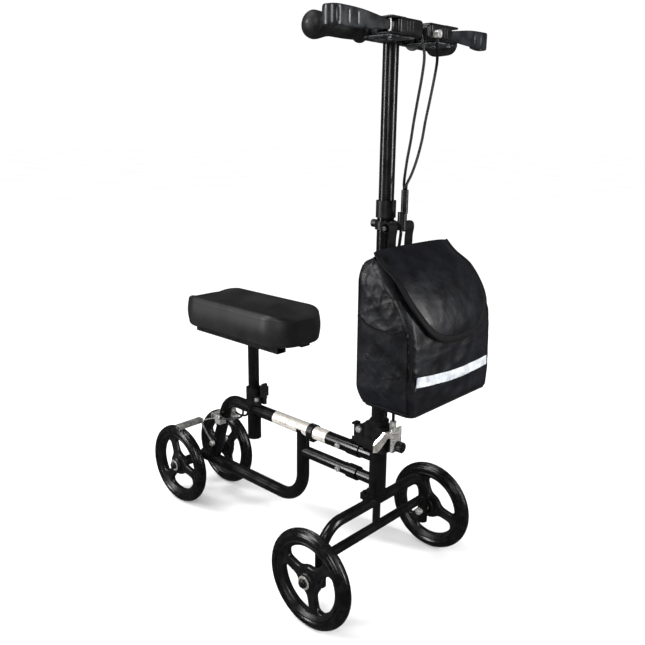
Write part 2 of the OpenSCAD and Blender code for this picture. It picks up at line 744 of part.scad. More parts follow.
module lever_fittings() {
    color("silver") at_column() {
        both_sides() along_z(lever_z - 19.5, lever_z + 14.5, lever_front, lever_pivot_y, 6);
        along_x(lever_front + 14.1, lever_front + 24, cable_left[0][1], lever_z - 5, 13);
        along_y(-housing_y0 + 3.1, cable_right[0][1] - 2, cable_right[0][0], cable_right[0][2], 8);
    }
}
module upper_cables() {
    color("#0b0b0b") at_column() {
        cable(cable_left, cable_d);
        cable(cable_right, cable_d);
    }
}
module lower_cable() { color("#0b0b0b") at_column() cable(cable_lower, cable_d + 1); }

// ---- seat ----
module seat_collar() {
    color("#141414") at_column() difference() {
        union() {
            along_z(seat_collar_z0, seat_collar_z1, seat_x, 0, socket_d + 5);
            block(seat_x + 12, seat_pivot_x + 6, -12, 12, seat_collar_z0, seat_pivot_z + 7);
        }
        along_z(socket_z0, socket_top + 0.2, seat_x, 0, socket_d + 0.1);
        along_z(socket_z0, seat_collar_z1 + 1, seat_x, 0, post_d + 0.8);
        block(seat_x + 10, seat_x + 40, -seat_slot / 2, seat_slot / 2, 0, seat_collar_z1 + 1);
        along_y(-30, 30, seat_pivot_x, seat_pivot_z, 5.2);
        along_x(seat_x - 30, seat_x, 0, seat_collar_z0 + 12, 4);
    }
}
module seat_collar_bolt() {
    x = seat_pivot_x;
    z = seat_pivot_z;
    color("silver") at_column() {
        along_y(-14, 14, x, z, 5);
        along_y(-17, -12, x, z, 9);
        hex_y(12, 16.5, x, z, 9);
        along_x(seat_x - socket_d / 2 - 6, seat_x - socket_d / 2 - 0.4, 0, seat_collar_z0 + 12, 3.9);
        along_x(seat_x - socket_d / 2 - 7, seat_x - socket_d / 2 - 2.6, 0, seat_collar_z0 + 12, 8);
    }
}
module seat_clamp_lever() {
    x = seat_pivot_x;
    z = seat_pivot_z;
    tongue = seat_slot / 2 - 0.4;
    reach = 15;
    color("#161616") at_column() difference() {
        union() {
            along_y(-tongue, tongue, x, z, 13);
            block(x, x + reach, -tongue, tongue, z - 5, z + 3);
            // the arm stays as narrow as the tongue until it is past the collar's lugs
            block(x + 8, x + reach, -tongue, tongue, z - 5, z + 9);
            block(x + 8, x + reach, -10, 10, z + 9, z + 32);
            block(x + 8, x + reach - 1, -7, 7, z + 32, z + 39);
            along_y(-5, 5, x + reach - 1, z + 17, 5);
        }
        along_y(-30, 30, x, z, 5 + 2 * pin_fit);
    }
}
module seat_post() {
    color("#111114") at_column() difference() {
        along_z(socket_z0 + 48, pad_z0 - 2, seat_x, 0, post_d);
        along_z(socket_z0, pad_z0 - 8, seat_x, 0, post_d - 2 * tube_t);
        for (k = [0:3]) along_x(seat_x - 40, seat_x, 0, 352 + k * 25, 6.5);
    }
}
module seat_rails() {
    color("#141414") at_column() {
        both_sides() difference() {
            block(rail_x0, rail_x1, rail_y - rail_w / 2, rail_y + rail_w / 2, rail_z0, pad_z0);
            block(rail_x0 - 1, rail_x1 + 1, rail_y - rail_w / 2 + 2, rail_y + rail_w / 2 - 2,
                rail_z0 + 2, pad_z0 - 2);
        }
        difference() {
            block(seat_x - 40, seat_x + 40, -rail_y + rail_w / 2, rail_y - rail_w / 2, rail_z0, pad_z0);
            along_z(rail_z0 - 1, pad_z0 + 1, seat_x, 0, post_d);
        }
    }
}
module pad_board() {
    color("#1a1a1a") at_column() translate([pad_x, 0, pad_z0])
        linear_extrude(board_t)
            rounded(pad_l - 2 * board_inset, pad_w - 2 * board_inset, pad_r - board_inset);
}
module knee_pad() {
    pocket = board_inset - 0.5;
    color("#17171a") at_column() translate([pad_x, 0, pad_z0]) difference() {
        linear_extrude(pad_t) rounded(pad_l, pad_w, pad_r);
        translate([0, 0, -1]) linear_extrude(board_t + 1.2)
            rounded(pad_l - 2 * pocket, pad_w - 2 * pocket, pad_r - pocket);
        // shallow lengthwise hollow that the shin lies in
        translate([-pad_l, 0, pad_t + dish_r - dish_depth]) rotate([0, 90, 0])
            cylinder(r = dish_r, h = 2 * pad_l, $fn = 96);
    }
}

// ---- rear brakes ----
module cable_stops() {
    p = cable_rear_left[len(cable_rear_left) - 1];
    color("silver") at_column() both_sides() difference() {
        union() {
            block(p[0] - 13, p[0] + 4, tube_d / 2 - 3, p[1] + 6, p[2] - 16, p[2] - 4);
            along_x(p[0] - 13, p[0] - 0.2, p[1], p[2], 10);
        }
        top_path(tube_d + 0.1);
        along_x(p[0] - 20, p[0] + 1, p[1], p[2], 2);
    }
}
module left_brake_arm() { brake_arm(1); }
module right_brake_arm() { brake_arm(-1); }
module brake_arm(s) {
    px = arm_pivot[0];
    pz = arm_pivot[1];
    bx = arm_bar_x;
    bz = arm_bar_z;
    color("silver") at_column() scale_y(s) difference() {
        union() {
            // channel across the tyre's tread, open below
            difference() {
                block(bx - 9, bx + 9, arm_y, rear_track / 2 + 16, bz, bz + 13);
                block(bx - 7, bx + 7, arm_y + 2, rear_track / 2 + 17, bz - 1, bz + 11);
                for (y = [arm_y + 10:14:rear_track / 2 + 8]) along_x(bx - 20, bx + 20, y, bz + 5.5, 5);
            }
            // link down to the pivot on the frame
            translate([0, arm_y + 3, 0]) rotate([90, 0, 0]) linear_extrude(3) difference() {
                union() {
                    polygon([[px - 7, pz - 2], [px + 7, pz + 2], [bx + 9, bz + 13], [bx - 9, bz + 13],
                        [bx - 9, bz - 1]]);
                    translate([px, pz]) circle(8);
                }
            }
        }
        along_y(0, 60, px, pz, 6 + 2 * pin_fit);
    }
}
module brake_pivot_pin() {
    color("silver") at_column() {
        along_y(-arm_y - 5, arm_y + 5, arm_pivot[0], arm_pivot[1], 6);
        both_sides() hex_y(arm_y + 3.4, arm_y + 7.5, arm_pivot[0], arm_pivot[1], 11.5);
    }
}
module rear_cables() {
    color("#0b0b0b") at_column() {
        cable(cable_rear_left, cable_d);
        cable(cable_rear_right, cable_d);
    }
}

// ---- bag ----
// Side outline of the bag, drawn in by t
module bag_outline(t) {
    polygon([[bag_x0 + t, bag_z0 + t], [bag_x1 - t, bag_z0 + t], [bag_x1 - t, bag_front_z - t / 2],
        [bag_crest[0], bag_crest[1] - 1.3 * t], [bag_x0 + t, bag_back_z - t]]);
}
module bag_body() {
    w = bag_w;
    color("#101013") at_column() difference() {
        translate([0, w / 2, 0]) rotate([90, 0, 0]) linear_extrude(w) bag_outline(0);
        translate([0, w / 2 - bag_t, 0]) rotate([90, 0, 0]) linear_extrude(w - 2 * bag_t) bag_outline(bag_t);
        // mouth under the flap
        translate([0, w / 2 - 12, 0]) rotate([90, 0, 0]) linear_extrude(w - 24)
            polygon([[bag_x1 - 10, bag_front_z + 2], [bag_x1 + 20, bag_front_z + 60],
                [bag_crest[0] + 40, bag_crest[1] + 40], [bag_crest[0] + 4, bag_crest[1] + 1],
                [bag_crest[0] + 4, bag_crest[1] - 20], [bag_x1 - 10, bag_front_z - 12]]);
    }
}
module bag_flap() {
    g = flap_gap;
    t = flap_t;
    w = bag_w - 16;
    color("#141417") at_column() {
        intersection() {
            translate([0, w / 2, 0]) rotate([90, 0, 0]) linear_extrude(w)
                polygon([[bag_crest[0], bag_crest[1] + g], [bag_crest[0] + 2, bag_crest[1] + g],
                    [bag_x1 + g, bag_front_z + g], [bag_x1 + g, bag_front_z - 56],
                    [bag_x1 + g + t, bag_front_z - 56], [bag_x1 + g + t, bag_front_z + g + 3],
                    [bag_crest[0] + 4, bag_crest[1] + g + t], [bag_crest[0], bag_crest[1] + g + t]]);
            // rounded lower corners
            translate([0, 0, bag_front_z + 90]) rotate([0, 90, 0]) linear_extrude(400)
                rounded(292, w, 90);
        }
    }
}
module bag_straps() {
    web = 2.2;
    x = bag_x0 - web - 0.2;
    color("#0c0c0e") at_column() both_sides() difference() {
        union() {
            along_y(13, 37, strap_bar_x, strap_bar_z, strap_bar_d + 0.4 + 2 * web);
            block(x, x + web, 13, 37, bag_back_z - 60, strap_bar_z + 3);
            block(strap_bar_x, x + web, 13, 37, strap_bar_z + 3, strap_bar_z + 5.4);
        }
        along_y(0, 60, strap_bar_x, strap_bar_z, strap_bar_d + 0.4);
    }
}

// ---- wheels ----
module tyre(x, y) {
    color("#0c0c0c") translate([x, y, axle_z]) rotate([90, 0, 0]) rotate_extrude($fn = 96) difference() {
        intersection() {
            translate([wheel_d / 2 - tyre_w / 2, 0]) circle(d = tyre_w);
            translate([rim_d / 2, -tyre_w]) square([60, 2 * tyre_w]);
        }
        for (g = [-6, 0, 6]) translate([wheel_d / 2 - 1.6, g - 0.7]) square([4, 1.4]);
    }
}
module spoke_gaps(a) {
    difference() {
        circle(opening_r1 + 0.5, $fn = 96);
        circle(opening_r0);
        for (k = [0:2]) rotate([0, 0, a + 120 * k]) translate([0, -spoke_w / 2]) square([200, spoke_w]);
    }
}
module rim(x, y, a) {
    color("#161616") translate([x, y, axle_z]) rotate([90, 0, 0]) difference() {
        union() {
            difference() {
                translate([0, 0, -rim_w / 2]) cylinder(d = rim_d, h = rim_w, $fn = 96);
                translate([0, 0, -rim_w]) cylinder(r = opening_r1, h = 2 * rim_w, $fn = 96);
            }
            translate([0, 0, -web_t / 2]) linear_extrude(web_t) difference() {
                circle(opening_r1 + 1, $fn = 96);
                spoke_gaps(a);
            }
            translate([0, 0, -hub_l / 2]) cylinder(d = hub_d, h = hub_l);
        }
        translate([0, 0, -hub_l]) cylinder(d = axle_d + 4, h = 2 * hub_l);
        bearing_pockets() cylinder(d = bearing_d, h = bearing_w + 1);
    }
}
module bearing_pockets() {
    for (s = [0, 1]) mirror([0, 0, s]) translate([0, 0, hub_l / 2 - bearing_w]) children();
}
module bearings(x, y) {
    color("#b8b8ba") translate([x, y, axle_z]) rotate([90, 0, 0]) bearing_pockets() difference() {
        cylinder(d = bearing_d, h = bearing_w);
        translate([0, 0, -1]) cylinder(d = axle_d + 2 * pin_fit, h = bearing_w + 2);
    }
}
module front_left_tyre() { at_column() tyre(0, front_track / 2); }
module front_left_rim() { at_column() rim(0, front_track / 2, spoke_angles[0]); }
module front_left_bearings() { at_column() bearings(0, front_track / 2); }
module front_right_tyre() { at_column() tyre(0, -front_track / 2); }
module front_right_rim() { at_column() rim(0, -front_track / 2, spoke_angles[1]); }
module front_right_bearings() { at_column() bearings(0, -front_track / 2); }
module rear_left_tyre() { at_column() tyre(rear_x, rear_track / 2); }
module rear_left_rim() { at_column() rim(rear_x, rear_track / 2, spoke_angles[2]); }
module rear_left_bearings() { at_column() bearings(rear_x, rear_track / 2); }
module rear_right_tyre() { at_column() tyre(rear_x, -rear_track / 2); }
module rear_right_rim() { at_column() rim(rear_x, -rear_track / 2, spoke_angles[3]); }
module rear_right_bearings() { at_column() bearings(rear_x, -rear_track / 2); }

main_frame();
head_tube();
frame_joint_bolts();
frame_label_band();
frame_band_clip();
tube_bushes();
seat_collar();
seat_collar_bolt();
seat_clamp_lever();
rear_axle_bolts();
front_axle_bolts();
axle_arch_tube();
axle_lower_beam();
steerer_tube();
steering_stop();
fold_base();
fold_hinge_pin();
clamp_jaw();
clamp_knob();
fold_clamp_lever();
fold_latch();
fold_head();
column_tube();
height_collar();
height_knob();
cable_bracket();
cable_adjuster();
bag_body();
bag_flap();
bag_straps();
handlebar_tube();
grips();
lever_housings();
lever_plates();
left_brake_lever();
right_brake_lever();
lever_fittings();
upper_cables();
lower_cable();
rear_cables();
cable_stops();
left_brake_arm();
right_brake_arm();
brake_pivot_pin();
seat_post();
seat_rails();
pad_board();
knee_pad();
front_left_tyre();
front_left_rim();
front_left_bearings();
front_right_tyre();
front_right_rim();
front_right_bearings();
rear_left_tyre();
rear_left_rim();
rear_left_bearings();
rear_right_tyre();
rear_right_rim();
rear_right_bearings();
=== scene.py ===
"""Looks of a four-wheel knee scooter: pad, bag, wheels, grips, levers, cables and finishes.

Lengths in the functions are millimetres from the steering column's axis, as in the CAD
source, and place() turns them into metres in the frame's own axes.
"""

import json
import math

import bpy
import numpy as np
from bpy.props import FloatProperty, IntProperty, PointerProperty
from mathutils import Matrix, Vector


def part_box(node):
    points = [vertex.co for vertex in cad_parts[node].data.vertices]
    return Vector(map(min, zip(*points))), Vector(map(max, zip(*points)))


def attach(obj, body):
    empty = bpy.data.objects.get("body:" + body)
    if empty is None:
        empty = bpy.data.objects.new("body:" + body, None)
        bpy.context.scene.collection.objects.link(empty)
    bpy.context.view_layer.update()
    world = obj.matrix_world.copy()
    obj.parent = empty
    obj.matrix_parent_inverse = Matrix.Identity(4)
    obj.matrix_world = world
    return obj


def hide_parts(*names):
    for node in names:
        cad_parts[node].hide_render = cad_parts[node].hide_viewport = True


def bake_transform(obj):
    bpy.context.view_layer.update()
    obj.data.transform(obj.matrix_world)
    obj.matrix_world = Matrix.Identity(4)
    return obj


bl_info = {
    "name": "Knee scooter looks",
    "version": (1, 0, 0),
    "blender": (4, 5, 0),
    "location": "View3D > Sidebar > Scooter",
    "description": "Builds the visible pieces of a knee scooter around its CAD frame",
    "category": "Object",
}

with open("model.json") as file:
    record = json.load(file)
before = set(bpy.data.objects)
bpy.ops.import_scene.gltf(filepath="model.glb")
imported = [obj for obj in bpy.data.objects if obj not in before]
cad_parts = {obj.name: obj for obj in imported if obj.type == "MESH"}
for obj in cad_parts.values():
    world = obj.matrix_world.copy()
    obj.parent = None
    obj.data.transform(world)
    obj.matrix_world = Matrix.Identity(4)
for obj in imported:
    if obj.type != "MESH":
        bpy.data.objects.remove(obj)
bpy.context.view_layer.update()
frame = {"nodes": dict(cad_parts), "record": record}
MM = 0.001
TAU = 2 * math.pi


def middle(node):
    """Centre of a CAD node's box, in metres."""
    low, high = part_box(node)
    return (low + high) / 2


COLUMN_X = middle("column_tube").x
AXLE_Z = middle("front_left_rim").z / MM
REAR_X = (middle("rear_left_rim").x - COLUMN_X) / MM
BAR_Z = middle("lever_housings").z / MM - 1.0
PAD_LOW, PAD_HIGH = (np.array(c) / MM - (COLUMN_X / MM, 0, 0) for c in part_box("knee_pad"))
WHEELS = ("front_left", "front_right", "rear_left", "rear_right")
SIDES = {"left": 1, "right": -1}


# ---- numbers and grids ----
def linear(hex_colour):
    """sRGB hex such as '1a1a1c' as linear RGBA."""
    srgb = np.array([int(hex_colour[i : i + 2], 16) for i in (0, 2, 4)]) / 255
    rgb = np.where(srgb <= 0.04045, srgb / 12.92, ((srgb + 0.055) / 1.055) ** 2.4)
    return (*rgb.tolist(), 1.0)


def place(points):
    """Millimetres from the column's axis to metres in the frame."""
    return np.asarray(points, float) * MM + (COLUMN_X, 0, 0)


def unit(v):
    """Each vector at length one."""
    return v / np.maximum(np.linalg.norm(v, axis=-1, keepdims=True), 1e-9)


def smoothstep(a, b, x):
    """Rises smoothly from 0 at a to 1 at b."""
    t = np.clip((x - a) / (b - a), 0, 1)
    return t * t * (3 - 2 * t)


def curve_through(points, count):
    """Catmull-Rom curve through the points, resampled at even steps of its length."""
    p = np.asarray(points, float)
    p = np.vstack([2 * p[0] - p[1], p, 2 * p[-1] - p[-2]])
    t = np.linspace(0, 1, 16, endpoint=False)[None, :, None]
    a, b, c, d = (q[:, None, :] for q in (p[:-3], p[1:-2], p[2:-1], p[3:]))
    fine = 0.5 * (
        2 * b + (c - a) * t + (2 * a - 5 * b + 4 * c - d) * t**2 + (3 * b - a - 3 * c + d) * t**3
    )
    return evenly(np.vstack([fine.reshape(-1, p.shape[1]), p[-2]]), count)


def evenly(line, count):
    """A polyline resampled to count points at even steps of its length."""
    line = np.asarray(line, float)
    steps = np.concatenate([[0], np.cumsum(np.linalg.norm(np.diff(line, axis=0), axis=1))])
    at = np.linspace(0, steps[-1], count)
    return np.stack([np.interp(at, steps, line[:, k]) for k in range(line.shape[1])], 1)


def quads(rows, columns, wrap_rows, wrap_columns):
    """Faces of a grid of points, row by row, joined round where it wraps."""
    i = np.arange(rows if wrap_rows else rows - 1)
    j = np.arange(columns if wrap_columns else columns - 1)
    i, j = (g.ravel() for g in np.meshgrid(i, j, indexing="ij"))
    i2, j2 = (i + 1) % rows, (j + 1) % columns
    return np.stack([i * columns + j, i * columns + j2, i2 * columns + j2, i2 * columns + j], 1)


def grid(points, wrap_rows=False, wrap_columns=True, caps=True):
    """A grid of points as (vertices, faces). With caps, a flat face closes each open end."""
    rows, columns = points.shape[:2]
    faces = [tuple(f) for f in quads(rows, columns, wrap_rows, wrap_columns).tolist()]
    if caps and not wrap_rows:
        faces.append(tuple(range(columns)))
        faces.append(tuple(range((rows - 1) * columns, rows * columns)))
    vertices = points.reshape(-1, 3)
    if caps or (wrap_rows and wrap_columns):
        faces = facing_out(vertices, faces)
    return vertices, faces


def facing_out(vertices, faces):
    """Faces of a closed form, turned round if its signed volume is negative."""
    corners = np.array([(f[0], f[k], f[k + 1]) for f in faces for k in range(1, len(f) - 1)])
    a, b, c = (vertices[corners[:, k]] for k in range(3))
    volume = np.einsum("ij,ij->i", a, np.cross(b, c)).sum()
    return faces if volume > 0 else [f[::-1] for f in faces]


def mirrored(part):
    """The same closed form on the other side of the middle plane."""
    vertices, faces = part
    return vertices * (1, -1, 1), [f[::-1] for f in faces]


def build(name, parts, material, body, stands_for=(), sharp=40, subdivide=0):
    """One object made of grids: smooth, with edges sharper than so many degrees kept sharp."""
    vertices, faces, start = [], [], 0
    for v, f in parts:
        vertices.append(v)
        faces += [tuple(i + start for i in face) for face in f]
        start += len(v)
    mesh = bpy.data.meshes.new(name)
    mesh.from_pydata(place(np.vstack(vertices)).tolist(), [], faces)
    mesh.polygons.foreach_set("use_smooth", [True] * len(mesh.polygons))
    mesh.set_sharp_from_angle(angle=math.radians(sharp))
    mesh.materials.append(material)
    obj = bpy.data.objects.new(name, mesh)
    bpy.context.scene.collection.objects.link(obj)
    if subdivide:
        step = obj.modifiers.new("smooth", "SUBSURF")
        step.levels = step.render_levels = subdivide
    if body:
        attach(obj, body)
    if stands_for:
        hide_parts(*stands_for)
    return obj


# ---- forms ----
def circle(count, start=0.0):
    """Points round the unit circle."""
    a = start + np.arange(count) * TAU / count
    return np.stack([np.cos(a), np.sin(a)], 1)


def soft_square(count, half_a, half_b, power):
    """Superellipse: |x/a|^power + |y/b|^power = 1."""
    c = circle(count)
    return np.sign(c) * np.abs(c) ** (2 / power) * (half_a, half_b)


def sweep(path, section, across, closed=False):
    """A section carried along a path: its first axis leans on 'across', its second is square to it.

    section is (m, 2), or (n, m, 2) where it changes along the path.
    """
    path = np.asarray(path, float)
    if closed:
        tangent = unit(np.roll(path, -1, 0) - np.roll(path, 1, 0))
    else:
        tangent = unit(np.gradient(path, axis=0))
    across = np.broadcast_to(np.asarray(across, float), path.shape)
    u = unit(across - (across * tangent).sum(1, keepdims=True) * tangent)
    v = np.cross(tangent, u)
    s = np.broadcast_to(section, (len(path), *np.shape(section)[-2:]))
    points = path[:, None] + s[..., :1] * u[:, None] + s[..., 1:] * v[:, None]
    return grid(points, wrap_rows=closed, caps=not closed)


def tube(path, radius, across=(0, 1, 0), count=16, closed=False):
    """A round section carried along a path."""
    return sweep(path, circle(count) * radius, across, closed)


def lathe(profile, centre, axis="y", count=96, closed=True):
    """A profile of (radius, along) points turned round an axis through centre."""
    profile = np.asarray(profile, float)
    c = circle(count)
    r, along = profile[:, None, 0], profile[:, None, 1] + 0 * c[None, :, 0]
    a, b = r * c[None, :, 0], r * c[None, :, 1]
    order = {"x": (along, a, b), "y": (a, along, b), "z": (a, b, along)}[axis]
    points = np.stack(order, -1) + np.asarray(centre, float)
    return grid(points, wrap_rows=closed, caps=not closed)


def rounded_box(low, high, radius, count=12):
    """A box whose edges are arcs of a radius: rounded rectangles stacked along z."""
    low, high = np.asarray(low, float), np.asarray(high, float)
    centre, half = (low + high) / 2, (high - low) / 2
    corner = np.repeat([(1, 1), (-1, 1), (-1, -1), (1, -1)], count, axis=0)
    arc = np.linspace(0, TAU / 4, count)
    turn = np.concatenate([arc + k * TAU / 4 for k in range(4)])
    ring = np.stack([np.cos(turn), np.sin(turn)], 1)
    rise = np.linspace(-TAU / 4, TAU / 4, 9)
    rise = np.concatenate([rise[:5], rise[4:]])
    lift = np.concatenate([-np.ones(5), np.ones(5)]) * (half[2] - radius)
    grow = radius * np.cos(rise)
    xy = corner[None] * (half[:2] - radius) + grow[:, None, None] * ring[None]
    z = np.broadcast_to((lift + radius * np.sin(rise))[:, None, None], (*xy.shape[:2], 1))
    return grid(np.concatenate([xy, z], 2) + centre)


# ---- materials ----
def add(material, kind, inputs=None, to=None, **settings):
    """Adds a node, sets its settings, sets or links its inputs, and links its first output to 'to'."""
    node = material.node_tree.nodes.new(kind)
    for key, value in settings.items():
        setattr(node, key, value)
    for key, value in (inputs or {}).items():
        if isinstance(value, bpy.types.NodeSocket):
            material.node_tree.links.new(value, node.inputs[key])
        else:
            node.inputs[key].default_value = value
    if to is not None:
        material.node_tree.links.new(node.outputs[0], to)
    return node


def per_metre(size_mm):
    """Texture scale at which one feature is so many millimetres across."""
    return 1 / (size_mm * MM)


def surface(name, low, high, cloud_mm, rough, grain=None, stretch=(1, 1, 1), under=None, **constants):
    """A material whose colour and roughness drift over a real size, with a fine relief.

    grain and under are (texture, size in mm, depth in mm, strength), under being the coarser
    of two reliefs. stretch draws the grain out along an axis.
    """
    made = bpy.data.materials.get(name)
    if made:
        return made
    made = bpy.data.materials.new(name)
    made.use_nodes = True
    shader = made.node_tree.nodes["Principled BSDF"]
    for key, value in constants.items():
        shader.inputs[key.replace("_", " ")].default_value = value
    at = add(made, "ShaderNodeTexCoord").outputs["Object"]
    cloud = add(
        made, "ShaderNodeTexNoise", {"Vector": at, "Scale": per_metre(cloud_mm), "Detail": 4.0}
    ).outputs["Fac"]
    ramp = add(made, "ShaderNodeValToRGB", {"Fac": cloud}, to=shader.inputs["Base Color"]).color_ramp
    ramp.elements[0].position, ramp.elements[1].position = 0.35, 0.65
    ramp.elements[0].color, ramp.elements[1].color = linear(low), linear(high)
    add(
        made, "ShaderNodeMapRange",
        {"Value": cloud, "From Min": 0.3, "From Max": 0.7, "To Min": rough[0], "To Max": rough[1]},
        to=shader.inputs["Roughness"],
    )
    drawn = add(made, "ShaderNodeMapping", {"Vector": at, "Scale": stretch}).outputs["Vector"]
    below = None
    for relief in (under, grain):
        if relief is None:
            continue
        texture, size_mm, depth_mm, strength = relief
        pattern = add(made, texture, {"Vector": drawn, "Scale": per_metre(size_mm)})
        inputs = {"Height": pattern.outputs[0], "Distance": depth_mm * MM, "Strength": strength}
        if below is not None:
            inputs["Normal"] = below
        below = add(made, "ShaderNodeBump", inputs, to=shader.inputs["Normal"]).outputs["Normal"]
    return made


NOISE, CELLS, WAVES = "ShaderNodeTexNoise", "ShaderNodeTexVoronoi", "ShaderNodeTexWave"


def gloss_powder_coat():
    """Black polyester powder coat: glossy, with a faint orange peel 2 mm across and some dust."""
    return surface(
        "gloss_black_powder_coat", "060607", "0d0d0e", 45, (0.12, 0.28), (NOISE, 2.2, 0.05, 0.4),
        Specular_IOR_Level=0.32,
    )


def satin_powder_coat():
    """Satin black powder coat over a casting: a fine sand texture 0.9 mm across."""
    return surface(
        "satin_black_cast_coat", "080809", "131314", 18, (0.28, 0.48), (NOISE, 0.9, 0.08, 0.6),
        Specular_IOR_Level=0.3,
    )


# The plated metals are part matt: a look chosen for the dim surroundings, not a measured finish.
def zinc_plate():
    """Zinc-plated steel: grey metal with cloudy spangle and fine drawn scratches."""
    return surface(
        "zinc_plated_steel", "8a8a88", "c8c8c4", 5, (0.2, 0.45), (NOISE, 1.5, 0.04, 0.5), (1, 6, 1),
        Metallic=0.6,
    )


def brake_steel():
    """Galvanised strip of the brake bars: duller and darker than the bolts, with a blotchy spangle."""
    return surface(
        "galvanised_steel_strip", "6a6a69", "aaaaa6", 7, (0.25, 0.5), (CELLS, 4.0, 0.06, 0.4),
        Metallic=0.6,
    )


def polished_steel():
    """Polished plated steel of a quick-release lever: bright, with a soft drawn grain."""
    return surface(
        "polished_plated_steel", "b9b4ae", "e6e3de", 9, (0.12, 0.3), (NOISE, 1.4, 0.03, 0.4),
        (1, 1, 9), Metallic=0.75,
    )


def plated_stamping():
    """Stamped steel plate under black lacquer that has rubbed thin: dark, with brighter streaks."""
    return surface(
        "rubbed_black_stamping", "242526", "6b6d70", 7, (0.3, 0.5), (NOISE, 0.6, 0.03, 0.5),
        (0.1, 1, 1), Metallic=0.8,
    )


def label_film():
    """Silver polyester film with rows of plain grey blocks, as a printed label has from afar."""
    made = surface(
        "silver_polyester_film", "c9c4bb", "d8d4cc", 14, (0.22, 0.45), (NOISE, 6.0, 0.1, 0.4),
        Metallic=0.35, Coat_Weight=0.5,
    )
    tree = made.node_tree
    if "blocks" not in tree.nodes:
        at = next(n for n in tree.nodes if n.type == "TEX_COORD").outputs["Object"]
        shape = {"Scale": per_metre(16), "Mortar Size": 0.05, "Mortar Smooth": 0.3, "Bias": -0.2}
        tones = {"Color1": linear("d9d4cb"), "Color2": linear("8f8a82"), "Mortar": linear("e6e2da")}
        rows = add(made, "ShaderNodeMapping", {"Vector": at, "Scale": (1, 3.1, 3.1)})
        blocks = add(
            made, "ShaderNodeTexBrick", {"Vector": rows.outputs["Vector"], **shape, **tones},
            to=tree.nodes["Principled BSDF"].inputs["Base Color"],
        )
        blocks.name = "blocks"
    return made


def moulded_nylon():
    """Glass-filled black nylon of the rims and housings: satin, with a fine eroded grain."""
    return surface(
        "moulded_black_nylon", "080809", "121213", 22, (0.24, 0.4), (NOISE, 0.8, 0.05, 0.5),
        Specular_IOR_Level=0.34,
    )


def tyre_rubber():
    """Solid polyurethane tyre: near-black with a silky sheen, mould flow and a scuffed tread."""
    return surface(
        "black_tyre_rubber", "050505", "0f0e0e", 12, (0.16, 0.32), (NOISE, 1.1, 0.1, 0.4),
        Specular_IOR_Level=0.34,
    )


def grip_rubber():
    """Thermoplastic rubber of the grips: matt, pebbled 1.3 mm across."""
    return surface(
        "pebbled_grip_rubber", "0b0b0c", "171719", 20, (0.42, 0.62), (CELLS, 1.3, 0.12, 0.5),
        Specular_IOR_Level=0.35,
    )


def lever_coat():
    """Satin black lacquer on a pressed lever: bluish in the light, and rubbed in patches."""
    return surface(
        "satin_black_lacquer", "0d0e10", "1f2226", 26, (0.22, 0.4), (NOISE, 1.2, 0.04, 0.4),
        Specular_IOR_Level=0.5,
    )


def cable_sheath():
    """Extruded PVC brake housing: smooth black with slow waves along it."""
    return surface(
        "black_pvc_sheath", "050505", "0e0e0e", 30, (0.22, 0.38), (NOISE, 9.0, 0.2, 0.3),
        Specular_IOR_Level=0.3,
    )


def pad_leather():
    """Synthetic leather of the pad: charcoal, with a pebble grain 1.6 mm across over soft rises."""
    return surface(
        "charcoal_synthetic_leather", "121213", "1c1c1e", 60, (0.4, 0.54), (CELLS, 1.6, 0.12, 0.35),
        under=(NOISE, 14, 0.5, 0.3), Specular_IOR_Level=0.4,
    )


def bag_nylon():
    """Coated satin nylon: near black with a bluish sheen; threads drawn 1.2 mm apart to show."""
    return surface(
        "coated_satin_nylon", "050507", "0d0e14", 35, (0.34, 0.5), (WAVES, 3.8, 0.1, 0.3),
        under=(NOISE, 26, 3.0, 0.3), Sheen_Weight=0.08, Sheen_Roughness=0.4,
        Sheen_Tint=linear("5a6080"), Specular_IOR_Level=0.35,
    )


def webbing():
    """Woven polypropylene webbing and binding tape: dull black ribs 1.6 mm apart."""
    return surface(
        "black_polypropylene_webbing", "040405", "0b0b0d", 20, (0.5, 0.7), (WAVES, 5.1, 0.15, 0.5),
        Sheen_Weight=0.02, Specular_IOR_Level=0.14,
    )


def reflective_tape():
    """Retroreflective tape: bright grey, with a fine honeycomb 2.5 mm across and dull streaks."""
    return surface(
        "grey_reflective_tape", "a9aeb4", "d6dadd", 16, (0.25, 0.5), (CELLS, 2.5, 0.08, 0.4),
        Metallic=0.2,
    )


def floor_paint():
    """Matt white studio floor, faintly uneven."""
    return surface(
        "matt_white_floor", "f4f4f4", "f8f8f8", 900, (0.85, 0.95), (NOISE, 3.0, 0.05, 0.1),
        Specular_IOR_Level=0.05,
    )


FINISHES = {
    "frame_paint": gloss_powder_coat,
    "joint_paint": satin_powder_coat,
    "steel_plate": zinc_plate,
    "polished": polished_steel,
    "plate_grey": plated_stamping,
    "label_band": label_film,
    "black_plastic": moulded_nylon,
    "lever_paint": lever_coat,
    "grip_rubber": grip_rubber,
    "cable_sheath": cable_sheath,
    "tyre": tyre_rubber,
    "pad_cover": pad_leather,
    "bag_fabric": bag_nylon,
    "webbing": webbing,
}
NODE_FINISHES = {"left_brake_arm": brake_steel, "right_brake_arm": brake_steel}


# ---- what a user would change ----
class ScooterPadSettings(bpy.types.PropertyGroup):
    """Sizes of the knee pad, in millimetres"""

    dish: FloatProperty(
        name="Dish", description="Depth of the hollow for the shin, mm", default=13.0, min=0, max=20
    )
    edge: FloatProperty(
        name="Edge", description="Radius of the upper edge, mm", default=13.0, min=4, max=20
    )
    bulge: FloatProperty(
        name="Bulge", description="How far the sides swell, mm", default=3.0, min=0, max=8
    )


